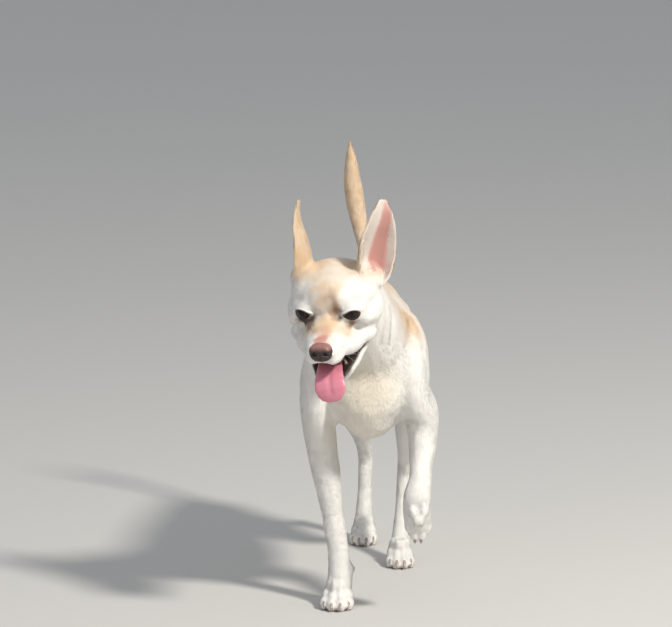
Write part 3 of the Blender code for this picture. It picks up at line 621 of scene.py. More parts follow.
class Skin:
    """One skin over all the flesh, sunk by the depth of the coat, with lids, lips and toes worked into it."""

    voxel: float = 0.9 * MM
    grow: float = 0.35 * MM
    body_triangles: int = 128000
    depths: dict[str, float] = {
        "head": 0.4,
        "lower_jaw": 0.35,
        "ear_left": 0.25,
        "ear_right": 0.25,
        "neck": 0.9,
        "torso": 0.9,
        "tail": 1.1,
        "foreleg_left": 0.55,
        "foreleg_right": 0.55,
        "hindleg_left": 0.6,
        "hindleg_right": 0.6,
    }

    def __init__(self, anatomy: Anatomy) -> None:
        """Builds the skin.

        Args:
            anatomy: Where the parts lie.
        """
        self.anatomy = anatomy
        self.solids = Solids(FLESH)
        self.obj = clay("skin", solid_copy(FLESH + BURIED, self.grow), self.voxel)
        LOG.info("skin: %d points in clay", len(self.obj.data.vertices))
        self.soften()
        self.model_face()
        self.model_paws()
        self.thin()
        self.refine()
        self.carve_lids()

    def soften(self) -> None:
        """Smooths the facets away and sinks the surface by the coat's depth."""
        shell = Shell(self.obj)
        _, labels = self.solids.measure(shell.points)
        head = local(self.anatomy.head(), shell.points)
        softness = np.ones(len(labels))
        for number, name in enumerate(FLESH):
            softness[labels == number] = {"head": 0.3, "lower_jaw": 0.22, "ear_left": 0.4, "ear_right": 0.4}.get(name, 1)
        face = 1 - ramp(np.linalg.norm((head - (0, -36, -16)) / (26, 26, 18), axis=1), 0.7, 1.2)
        softness *= 1 - 0.45 * face
        for paw in PAWS:
            near = np.linalg.norm(local(self.anatomy.paw(paw), shell.points) - (0, -6, 6), axis=1)
            softness *= 0.25 + 0.75 * ramp(near, 14, 26)
        softness = shell.spread(softness, 12)
        shell.points = shell.spread(shell.points, 26, 0.5 * softness)
        depth = np.array([self.depths[name] for name in FLESH])[labels] * MM
        for paw in PAWS:
            near = np.linalg.norm(local(self.anatomy.paw(paw), shell.points) - (0, -6, 6), axis=1)
            depth *= 0.45 + 0.55 * ramp(near, 14, 28)
        nose = np.linalg.norm((head - self.anatomy.nose_at) / (9.4, 6.6, 7.3), axis=1)
        depth = shell.spread(depth, 24)
        outside, _ = self.solids.measure(shell.points)
        error = np.clip(-depth - outside, -3 * MM, 3 * MM)
        error[nose < 1.0] = 0
        error[np.linalg.norm(head - (0.6, -36, -33), axis=1) < 14] = -0.3 * MM
        error = shell.spread(error, 16, 0.5 * softness)
        shell.points += shell.normals() * error[:, None]
        shell.points = shell.spread(shell.points, 2, 0.35 * softness)
        shell.write()

    def model_face(self) -> None:
        """Works the folds of the face into the skin."""
        shell = Shell(self.obj)
        strokes = []
        for side in (1, -1):
            strokes += [
                ((side * 5.2, -50.5, -14.0), 4.0, (-side * 0.5, 0.3, -0.3)),
                ((side * 11.0, -33.0, -5.0), 6.0, (-side * 0.3, 0.5, 0)),
                ((side * 17.0, -25.0, 8.0), 6.0, (0, -0.6, 0.2)),
                ((side * 25.0, -20.0, -14.0), 7.0, (side * 0.4, -0.4, 0)),
            ]
        strokes += [
            ((0, -56, -25.4), 2.6, (0, 1.0, 0)),
            ((6.0, -29.5, 2.5), 4.0, (0, 1.1, 0)),
            ((3.8, -27, 10.0), 4.0, (0, 0.7, -0.2)),
            ((29.5, -14.5, -20.5), 3.4, (-0.9, 0.6, 0)),
            ((30.5, -6.0, -23.0), 4.5, (0.6, 0, 0)),
            ((-28.0, -20.0, -12.5), 6.5, (-1.1, -0.4, 0)),
            ((-27.5, -14.0, -17.0), 6.0, (-0.5, 0, 0)),
        ]
        shell.push(self.anatomy.head(), strokes)
        creases = (
            ((12.6, -130.5, 240), (12.8, -134.5, 223), (9.0, -131.5, 201)),
            ((17.5, -124, 232), (17.0, -126, 216), (14.5, -124, 200)),
        )
        folds = []
        for path in np.array(creases, float):
            for one, two in zip(path, path[1:]):
                folds += [(tuple(one + (two - one) * k / 7), 3.6, (-0.35, 0.55, 0)) for k in range(7)]
        shell.push(self.anatomy.body(), folds)
        shell.write()

    def model_paws(self) -> None:
        """Presses the grooves between the toes up over each paw."""
        shell = Shell(self.obj)
        for paw in PAWS:
            toes = self.anatomy.toes(paw)
            strokes = []
            for (a, tip_a), (b, tip_b) in zip(toes, toes[1:]):
                middle, tip = (a + b) / 2, max(tip_a, tip_b)
                for k in range(8):
                    share = k / 7
                    spot = (middle * (1 - 0.35 * share), tip - 1 + 13 * share, 7.0 + 8.5 * share)
                    strokes.append((spot, 2.4, (0, 0.22 * (1 - share), -0.42 * (1 - 0.6 * share))))
            shell.push(self.anatomy.paw(paw), strokes)
        shell.write()

    def thin(self) -> None:
        """Thins the body, where the coat hides the skin, and keeps the face and paws fine."""
        shell = Shell(self.obj)
        head = local(self.anatomy.head(), shell.points)
        keep = 1 - ramp(np.linalg.norm((head - (0, -26, -8)) / (36, 36, 30), axis=1), 0.8, 1.3)
        for part in (Part.EAR_LEFT, Part.EAR_RIGHT):
            spots = local(self.anatomy.ear(part), shell.points)
            keep = np.maximum(keep, 0.6 * (1 - ramp(np.linalg.norm((spots - (0, 0, 26)) / (24, 20, 40), axis=1), 0.8, 1.1)))
        for paw in PAWS:
            spots = local(self.anatomy.paw(paw), shell.points)
            keep = np.maximum(keep, 1 - ramp(np.linalg.norm(spots - (0, -6, 6), axis=1), 14, 24))
        group = self.obj.vertex_groups.new(name="keep")
        for level in range(1, 11):
            found = np.nonzero(np.round(keep * 10) == level)[0]
            if len(found):
                group.add(found.tolist(), level / 10, "REPLACE")
        modifier = self.obj.modifiers.new("thin", "DECIMATE")
        modifier.ratio = self.body_triangles / (2 * len(self.obj.data.polygons))
        modifier.vertex_group = group.name
        modifier.invert_vertex_group = True
        modifier.vertex_group_factor = 0.1
        modifier.use_collapse_triangulate = True
        settle(self.obj)
        self.obj.vertex_groups.clear()

    def refine(self) -> None:
        """Gives the eyes' surroundings faces a quarter of a millimetre across."""
        centres = [self.anatomy.eye(side) @ Vector((0, -7, 0)) for side in (1, -1)]
        for reach in (11.0 * MM, 9.5 * MM):
            bm = bmesh.new()
            bm.from_mesh(self.obj.data)
            edges = [
                edge
                for edge in bm.edges
                if min((edge.verts[0].co - centre).length for centre in centres) < reach
            ]
            bmesh.ops.subdivide_edges(bm, edges=edges, cuts=1, use_grid_fill=True)
            bmesh.ops.triangulate(bm, faces=[face for face in bm.faces if len(face.verts) > 3])
            bm.to_mesh(self.obj.data)
            bm.free()

    def carve_lids(self) -> None:
        """Opens the lids over the eyes, with a rounded rim and a fold above."""
        shell = Shell(self.obj)
        self.rim = np.full(len(shell.points), 99.0)
        radius = self.anatomy.eye_radius
        for side in (1, -1):
            matrix = self.anatomy.eye(side)
            spots = local(matrix, shell.points)
            distance = np.linalg.norm(spots, axis=1)
            near = np.nonzero((distance < 15) & (spots[:, 1] < -2))[0]
            here = spots[near]
            gap = almond(here[:, 0], here[:, 2], self.anatomy.eye_opening)
            self.rim[near] = np.minimum(self.rim[near], gap)
            upper = ramp(here[:, 2], 0.0, 2.0)
            target = radius + 0.25 + (0.6 + 0.5 * upper) * ramp(gap, 0.0, 1.5) - 1.7 * ramp(-gap, 0.05, 0.6)
            target -= 0.3 * upper * np.exp(-(((gap - 2.2) / 0.5) ** 2))
            hold = 1 - ramp(gap, 1.2, 3.4)
            old = distance[near]
            new = old + (target - old) * hold
            shell.points[near] = placed(matrix, here * (new / old)[:, None])
        fine = np.abs(self.rim) < 6
        shell.points = shell.spread(shell.points, 2, 0.3 * fine)
        shell.write()

    def mark(self, markings: Markings) -> None:
        """Keeps the markings on the skin.

        Args:
            markings: The pattern.
        """
        shell = Shell(self.obj)
        self.shell = shell
        self.normal = shell.normals()
        _, self.labels = self.solids.measure(shell.points)
        found = markings.at(shell.points, self.normal, self.labels, FLESH)
        rim = 1 - ramp(self.rim, 0.45, 1.3)
        found[Mark.DARK] = np.maximum(found[Mark.DARK], rim)
        self.marks = {mark: np.clip(shell.spread(values, 1), 0, 1) for mark, values in found.items()}
        for mark, values in self.marks.items():
            store(self.obj, mark.value, values)
        smooth_shaded(self.obj)


def almond(x: Array, z: Array, opening: tuple[float, float]) -> Array:
    """How far each place lies outside the opening between the lids, in millimetres.

    Args:
        x: Across the eye.
        z: Up the eye.
        opening: Half the opening's width and half its height.

    Returns:
        The distance, which is negative inside.
    """
    half, high = opening
    share = np.linspace(-1, 1, 81)
    outline = np.concatenate(
        [np.stack([share * half, sign * high * (1 - share * share) ** 0.8], axis=1) for sign in (1, -1)]
    )
    spots = np.stack([x, z], axis=1)
    distance = np.full(len(spots), 99.0)
    for corner in outline:
        distance = np.minimum(distance, np.linalg.norm(spots - corner, axis=1))
    inside = (np.abs(x) < half) & (np.abs(z) < high * np.clip(1 - (x / half) ** 2, 0, 1) ** 0.8)
    return np.where(inside, -distance, distance)


class Value:
    """A number that a material works out, for use in Python expressions."""

    def __init__(self, sheet: "Sheet", socket: bpy.types.NodeSocket) -> None:
        """Wraps a socket.

        Args:
            sheet: The material's nodes.
            socket: The socket that gives the number.
        """
        self.sheet = sheet
        self.socket = socket

    def math(self, operation: str, *others: "Value | float") -> "Value":
        """One Math node on this number and others."""
        values = {number: other for number, other in enumerate((self, *others))}
        return self.sheet.value("ShaderNodeMath", {"operation": operation}, values)

    def __add__(self, other: "Value | float") -> "Value":
        """The sum."""
        return self.math("ADD", other)

    __radd__ = __add__

    def __sub__(self, other: "Value | float") -> "Value":
        """The difference."""
        return self.math("SUBTRACT", other)

    def __rsub__(self, other: float) -> "Value":
        """The difference, the other way round."""
        return self.sheet.value("ShaderNodeMath", {"operation": "SUBTRACT"}, {0: other, 1: self})

    def __mul__(self, other: "Value | float") -> "Value":
        """The product."""
        return self.math("MULTIPLY", other)

    __rmul__ = __mul__

    def top(self, other: "Value | float") -> "Value":
        """The larger of the two."""
        return self.math("MAXIMUM", other)

    def step(self, low: float, high: float) -> "Value":
        """A smooth step, 0 at low and 1 at high."""
        return self.sheet.value(
            "ShaderNodeMapRange",
            {"interpolation_type": "SMOOTHSTEP"},
            {"Value": self, "From Min": low, "From Max": high, "To Min": 0.0, "To Max": 1.0},
        )


class Sheet:
    """A material's nodes, round one Principled surface."""

    def __init__(self, name: str, **constants: float) -> None:
        """Starts a material.

        Args:
            name: Its name.
            constants: Numbers for the surface's sockets, with _ for a space.
        """
        self.material = bpy.data.materials.new(name)
        self.material.use_nodes = True
        self.tree = self.material.node_tree
        self.surface = self.tree.nodes["Principled BSDF"]
        for socket, number in constants.items():
            self.surface.inputs[socket.replace("_", " ")].default_value = number
        self.place = self.node("ShaderNodeTexCoord", {}, {}).outputs["Object"]

    def node(self, kind: str, settings: dict, inputs: dict) -> bpy.types.Node:
        """A node with its settings made first, then its values and links.

        Args:
            kind: The node's type.
            settings: Its properties.
            inputs: A Value, a socket or a plain value for each of its sockets.

        Returns:
            The node.
        """
        node = self.tree.nodes.new(kind)
        for name, setting in settings.items():
            setattr(node, name, setting)
        for name, given in inputs.items():
            given = given.socket if isinstance(given, Value) else given
            if isinstance(given, bpy.types.NodeSocket):
                self.tree.links.new(given, node.inputs[name])
            else:
                node.inputs[name].default_value = given
        return node

    def value(self, kind: str, settings: dict, inputs: dict, output: int | str = 0) -> Value:
        """One output of a new node, as a number."""
        return Value(self, self.node(kind, settings, inputs).outputs[output])

    def attribute(self, name: str) -> Value:
        """A number kept on the mesh."""
        return self.value("ShaderNodeAttribute", {"attribute_name": name}, {}, "Fac")

    def noise(self, size: float, detail: float = 3.0, place: bpy.types.NodeSocket | None = None) -> Value:
        """A noise whose grains are about the size, in metres."""
        inputs = {"Vector": place or self.place, "Scale": 1.0 / size, "Detail": detail}
        return self.value("ShaderNodeTexNoise", {}, inputs, "Fac")

    def mix(self, share: Value | float, low: object, high: object) -> bpy.types.NodeSocket:
        """A colour between two others.

        Args:
            share: 0 for the first and 1 for the second.
            low: The first, as three numbers or a socket.
            high: The second.

        Returns:
            The colour's socket.
        """
        colours = [c if isinstance(c, bpy.types.NodeSocket) else (*c, 1.0) for c in (low, high)]
        settings = {"data_type": "RGBA"}
        node = self.node("ShaderNodeMix", settings, {0: share, 6: colours[0], 7: colours[1]})
        return node.outputs[2]

    def feed(self, socket: str, given: Value | bpy.types.NodeSocket) -> None:
        """Links a varying value or colour to the surface."""
        self.tree.links.new(given.socket if isinstance(given, Value) else given, self.surface.inputs[socket])

    def bump(self, height: Value, depth: float, strength: float = 1.0) -> None:
        """Raises the surface's shading by a height from 0 to 1.

        Args:
            height: The height.
            depth: What 1 stands for, in metres.
            strength: The share of it that shows.
        """
        inputs = {"Height": height, "Distance": depth, "Strength": strength}
        self.feed("Normal", self.node("ShaderNodeBump", {}, inputs).outputs["Normal"])


@dataclass(frozen=True)
class Palette:
    """The colours of coat and skin, in linear light."""

    white: Triple = (0.88, 0.85, 0.80)
    # Cream hair, and the warm painted shade on the chest and belly.
    cream_and_shade: Triple = (0.82, 0.72, 0.55)
    fawn: Triple = (0.76, 0.50, 0.27)
    # Brown for the tear stains and for the painted shade in the brow furrow and under the eyes.
    tan_and_shade: Triple = (0.24, 0.115, 0.055)
    # Grey for the painted shade on the lid folds and in the neck's creases.
    fold_shade: Triple = (0.46, 0.42, 0.41)
    pink: Triple = (0.52, 0.22, 0.19)
    # Dark pigment, and the painted shade round the dog's right eye and under the nose.
    brown_and_shade: Triple = (0.032, 0.017, 0.012)
    gum: Triple = (0.12, 0.032, 0.03)

    def colour(self, sheet: Sheet, thin: float) -> bpy.types.NodeSocket:
        """The markings and the painted shade as one colour.

        Args:
            sheet: The material.
            thin: How much of the bare skin's pink shows, from 0 to 1.

        Returns:
            The colour's socket.
        """
        patchy = sheet.noise(6 * MM, 2.0)
        fawn = sheet.attribute("fawn") * (0.8 + 0.4 * patchy)
        # Cream hair, and painted warm shade on the chest and belly.
        cream_and_shade = sheet.mix(sheet.attribute("cream_and_shade"), self.white, self.cream_and_shade)
        colour = sheet.mix(fawn, cream_and_shade, self.fawn)
        # Tear stains, and painted shade in the brow furrow and under the eyes.
        colour = sheet.mix(sheet.attribute("tan_and_shade"), colour, self.tan_and_shade)
        # Painted shade on the lid folds and in the neck's creases.
        colour = sheet.mix(sheet.attribute("fold_shade") * 0.8, colour, self.fold_shade)
        colour = sheet.mix(sheet.attribute("bare") * thin, colour, self.pink)
        colour = sheet.mix(sheet.attribute("mouth"), colour, self.gum)
        # Dark pigment, with painted shade round the dog's right eye and under the nose.
        return sheet.mix(sheet.attribute("dark"), colour, self.brown_and_shade)


@dataclass(frozen=True)
class SkinFinish:
    """Skin under a short coat: matt where it is haired, a little moist where it is bare."""

    palette: Palette = Palette()

    def material(self) -> bpy.types.Material:
        """The material."""
        sheet = Sheet("coated_skin", Specular_IOR_Level=0.35, Sheen_Weight=0.1)
        sheet.feed("Base Color", self.palette.colour(sheet, 0.95))
        wet = sheet.attribute("mouth")
        sheet.feed("Roughness", 0.62 - 0.36 * wet - 0.1 * sheet.attribute("bare"))
        sheet.bump(sheet.noise(0.35 * MM, 4.0), 0.12 * MM, 0.6)
        return sheet.material


@dataclass(frozen=True)
class CoatFinish:
    """Short smooth hair, each tuft a little lighter or darker than the next and paler at its tip."""

    palette: Palette = Palette()

    def material(self) -> bpy.types.Material:
        """The material."""
        sheet = Sheet("short_coat", Specular_IOR_Level=0.25, Sheen_Weight=0.08)
        base = self.palette.colour(sheet, 0.4)
        tone = sheet.attribute("tone")
        shade = sheet.mix(0.09 * tone, base, (0.36, 0.28, 0.21))
        tip = sheet.mix(0.12 * sheet.attribute("along"), shade, (0.95, 0.93, 0.90))
        sheet.feed("Base Color", tip)
        sheet.feed("Roughness", 0.55 + 0.2 * tone)
        sheet.bump(sheet.noise(0.25 * MM, 2.0), 0.05 * MM, 0.5)
        return sheet.material


@dataclass(frozen=True)
class EyeFinish:
    """A dark brown iris behind a wet cornea, with a pupil and a dark rim."""

    iris: Triple = (0.016, 0.007, 0.004)
    white: Triple = (0.10, 0.05, 0.04)

    def material(self) -> bpy.types.Material:
        """The material."""
        sheet = Sheet("wet_eye", Specular_IOR_Level=0.2, Coat_Weight=0.2, Coat_Roughness=0.03)
        across = sheet.attribute("across")
        rays = sheet.noise(0.5 * MM, 2.0)
        iris = sheet.mix(rays * 0.6, self.iris, (0.032, 0.013, 0.007))
        limbus = sheet.mix(across.step(0.50, 0.62), iris, (0.012, 0.007, 0.006))
        ball = sheet.mix(across.step(0.64, 0.72), limbus, self.white)
        sheet.feed("Base Color", sheet.mix(1 - across.step(0.24, 0.30), ball, (0.003, 0.003, 0.003)))
        sheet.feed("Roughness", 0.12 + 0.1 * across)
        return sheet.material


@dataclass(frozen=True)
class NoseFinish:
    """Damp nose leather: dark brown, pinker on top, finely pebbled."""

    dark: Triple = (0.030, 0.014, 0.013)
    pink: Triple = (0.33, 0.15, 0.125)

    def material(self) -> bpy.types.Material:
        """The material."""
        sheet = Sheet("nose_leather", Specular_IOR_Level=0.5, Coat_Weight=0.25, Coat_Roughness=0.3)
        patchy = sheet.noise(2.4 * MM, 3.0)
        top = sheet.attribute("top")
        sheet.feed("Base Color", sheet.mix((top * (0.6 + 0.7 * patchy)), self.dark, self.pink))
        cells = sheet.value(
            "ShaderNodeTexVoronoi", {"feature": "F1"}, {"Vector": sheet.place, "Scale": 1 / (0.75 * MM)}, "Distance"
        )
        sheet.feed("Roughness", 0.34 + 0.25 * cells)
        sheet.bump(1 - cells, 0.22 * MM, 0.8)
        return sheet.material


@dataclass(frozen=True)
class TongueFinish:
    """A wet pink tongue with fine papillae, with painted shade towards its root inside the mouth."""

    pink: Triple = (0.66, 0.20, 0.27)
    # The tongue's colour in shade, painted towards its root.
    root_shade: Triple = (0.28, 0.055, 0.075)

    def material(self) -> bpy.types.Material:
        """The material."""
        sheet = Sheet("tongue", Specular_IOR_Level=0.5, Coat_Weight=0.5, Coat_Roughness=0.22)
        patchy = sheet.noise(3 * MM, 3.0)
        colour = sheet.mix(patchy * 0.4, self.pink, (0.76, 0.32, 0.39))
        # Painted shade towards the tongue's root.
        sheet.feed("Base Color", sheet.mix(sheet.attribute("root"), colour, self.root_shade))
        grain = sheet.noise(0.45 * MM, 3.0)
        sheet.feed("Roughness", 0.30 + 0.2 * grain)
        sheet.bump(grain, 0.12 * MM, 0.7)
        return sheet.material


@dataclass(frozen=True)
class HornFinish:
    """Horn or ivory: smooth, streaked along its length."""

    name: str
    light: Triple
    dark: Triple
    gloss: float

    def material(self) -> bpy.types.Material:
        """The material."""
        sheet = Sheet(self.name, Specular_IOR_Level=0.5)
        streak = sheet.noise(0.7 * MM, 3.0)
        sheet.feed("Base Color", sheet.mix(streak.step(0.3, 0.75), self.light, self.dark))
        sheet.feed("Roughness", self.gloss + 0.2 * streak)
        sheet.bump(streak, 0.05 * MM, 0.5)
        return sheet.material


@dataclass(frozen=True)
class FloorFinish:
    """A plain pale floor."""

    colour: Triple = (0.62, 0.60, 0.57)

    def material(self) -> bpy.types.Material:
        """The material."""
        sheet = Sheet("plain_floor", Specular_IOR_Level=0.2, Roughness=0.9)
        cloud = sheet.noise(0.4, 2.0)
        sheet.feed("Base Color", sheet.mix(cloud * 0.1, self.colour, (0.5, 0.48, 0.46)))
        return sheet.material


@dataclass(frozen=True)
class Hair:
    """How the coat grows somewhere: millimetres long, wide and high, and tufts a square millimetre."""

    length: float
    width: float
    lift: float
    density: float


MUZZLE = Hair(1.8, 0.23, 0.16, 3.0)
FACE = Hair(2.8, 0.29, 0.20, 2.4)
CROWN = Hair(3.8, 0.36, 0.25, 1.9)
EAR = Hair(3.0, 0.30, 0.18, 2.1)
FRINGE = Hair(6.0, 0.32, 0.8, 1.6)
THROAT = Hair(5.8, 0.44, 0.25, 1.4)
BACK = Hair(6.6, 0.52, 0.26, 1.0)
LEG = Hair(4.2, 0.38, 0.25, 1.25)
FOOT = Hair(2.4, 0.26, 0.18, 2.1)
BRUSH = Hair(6.5, 0.46, 0.34, 1.7)


@dataclass(frozen=True)
class Comb:
    """A stroke that lays the coat: the places it runs through and the hair along it."""

    part: Part
    hair: Hair
    path: tuple[Triple, ...]
    both: bool = False

    def samples(self, anatomy: Anatomy) -> tuple[Array, Array]:
        """Places along the stroke and its direction at each, in the world."""
        places, ways = [], []
        matrix = anatomy.of(self.part)
        for side in (1, -1) if self.both else (1,):
            path = placed(matrix, np.array(self.path) * (side, 1, 1))
            for a, b in zip(path, path[1:]):
                steps = max(1, int(np.linalg.norm(b - a) / (7 * MM)))
                for k in range(steps):
                    places.append(a + (b - a) * (k + 0.5) / steps)
                    ways.append(unit(b - a))
        return np.array(places), np.array(ways)


E1, E2 = Part.EAR_LEFT, Part.EAR_RIGHT
COMBS = (
    Comb(H, MUZZLE, ((0, -52, -9), (0, -40, -4), (0, -32, 2))),
    Comb(H, FACE, ((0, -30, 4), (0, -20, 15), (0, -8, 21))),
    Comb(H, CROWN, ((0, -6, 22), (0, 14, 22), (0, 30, 16), (0, 40, 4))),
    Comb(H, MUZZLE, ((7, -52, -16), (13, -42, -15), (18, -33, -12)), True),
    Comb(H, MUZZLE, ((6, -53, -23), (13, -42, -24), (20, -28, -23)), True),
    Comb(H, FACE, ((20, -32, -12), (27, -22, -11), (33, -8, -9)), True),
    Comb(H, FACE, ((22, -26, -22), (28, -12, -19), (31, 2, -18)), True),
    Comb(H, MUZZLE, ((7, -34, -6), (13, -31, -8), (20, -28, -8)), True),
    Comb(H, MUZZLE, ((7, -30, 2), (14, -27, 7), (22, -22, 8)), True),
    Comb(H, FACE, ((8, -26, 9), (16, -19, 14), (24, -9, 15)), True),
    Comb(H, FACE, ((26, -21, -3), (31, -12, 0), (34, 0, 2)), True),
    Comb(H, CROWN, ((12, -12, 18), (18, 2, 20), (24, 14, 17)), True),
    Comb(H, CROWN, ((33, -2, -8), (32, 12, -12), (28, 26, -18)), True),
    Comb(H, CROWN, ((34, 4, 4), (32, 18, 2), (26, 32, -4)), True),
    Comb(J, MUZZLE, ((0, -56, -30), (0, -42, -33), (0, -26, -35)), False),
    Comb(J, MUZZLE, ((9, -48, -27), (15, -34, -29), (20, -20, -30)), True),
    Comb(J, FACE, ((21, -16, -30), (23, -2, -30), (22, 12, -28)), True),
    Comb(J, FACE, ((0, -24, -35), (0, -8, -36), (0, 8, -36))),
    Comb(E1, EAR, ((0, 8, -4), (0, 6, 14), (0, 4, 34), (0, 4, 56))),
    Comb(E1, EAR, ((14, -4, 2), (16, -6, 18), (11, -2, 38), (3, 2, 56))),
    Comb(E1, FRINGE, ((-14, -5, 0), (-15, -7, 10), (-11, -6, 22))),
    Comb(E1, EAR, ((-14, -5, 24), (-11, -2, 38), (-3, 2, 56))),
    Comb(E2, EAR, ((0, 8, -4), (0, 6, 14), (0, 4, 34), (0, 4, 56))),
    Comb(E2, EAR, ((14, -4, 2), (16, -6, 18), (11, -2, 38), (3, 2, 56))),
    Comb(E2, EAR, ((-14, -4, 2), (-16, -6, 18), (-11, -2, 38), (-3, 2, 56))),
    Comb(B, THROAT, ((-16, -112, 256), (-7, -94, 241), (0, -70, 236))),
    Comb(B, THROAT, ((8, -126, 238), (18, -106, 217), (31, -88, 197), (36, -74, 178))),
    Comb(B, THROAT, ((-46, -126, 236), (-42, -106, 214), (-40, -88, 194), (-40, -74, 176))),
    Comb(B, THROAT, ((-22, -152, 224), (-14, -144, 205), (-6, -134, 186), (-1, -126, 165), (0, -112, 142))),
    Comb(B, THROAT, ((0, -110, 140), (0, -92, 126), (0, -74, 122))),
    Comb(B, THROAT, ((4, -142, 222), (12, -130, 200), (18, -120, 178), (20, -110, 156))),
    Comb(B, THROAT, ((-40, -140, 220), (-32, -130, 200), (-24, -122, 178), (-20, -110, 156))),
    Comb(B, BACK, ((0, -62, 234), (0, 0, 233), (0, 60, 228), (0, 100, 218), (0, 118, 214))),
    Comb(B, BACK, ((40, -60, 196), (41, 0, 190), (36, 50, 190), (32, 96, 184)), True),
    Comb(B, BACK, ((28, -50, 224), (28, 0, 223), (26, 50, 218), (22, 96, 208)), True),
    Comb(B, BACK, ((34, -46, 150), (34, 0, 147), (28, 40, 152), (24, 74, 158)), True),
    Comb(B, BACK, ((0, -70, 122), (0, -30, 122), (0, 20, 130), (0, 60, 144), (0, 86, 152))),
    Comb(B, BACK, ((20, 116, 190), (20, 122, 172), (20, 122, 150)), True),
    Comb(B, LEG, ((-42, -80, 178), (-44, -86, 154), (-42, -82, 132), (-36, -76, 110), (-31, -78, 86))),
    Comb(B, LEG, ((-31, -80, 84), (-26, -84, 56), (-22, -90, 32), (-21, -96, 18))),
    Comb(B, LEG, ((34, -84, 180), (40, -92, 158), (44, -90, 136), (42, -98, 120), (39, -114, 106))),
    Comb(B, LEG, ((39, -116, 104), (37, -128, 92), (36, -128, 82), (36, -124, 72))),
    Comb(B, LEG, ((-30, 92, 176), (-30, 90, 150), (-25, 94, 128), (-17, 108, 106), (-10, 124, 90))),
    Comb(B, LEG, ((-8, 138, 76), (-7, 143, 62), (-7, 140, 36), (-7, 132, 16))),
    Comb(B, LEG, ((30, 72, 176), (32, 56, 150), (30, 50, 128), (28, 58, 106), (27, 70, 86))),
    Comb(B, LEG, ((26, 78, 72), (25, 76, 58), (23, 64, 33), (22, 52, 12))),
    Comb(B, BRUSH, ((0, 112, 204), (-3, 129, 222), (-8, 136, 239), (-14, 141, 270), (-18, 138, 300), (-19, 132, 326))),
    *(Comb(paw, FOOT, ((0, 4, 17), (0, -6, 14), (0, -14, 10), (0, -20, 4))) for paw in PAWS),
)


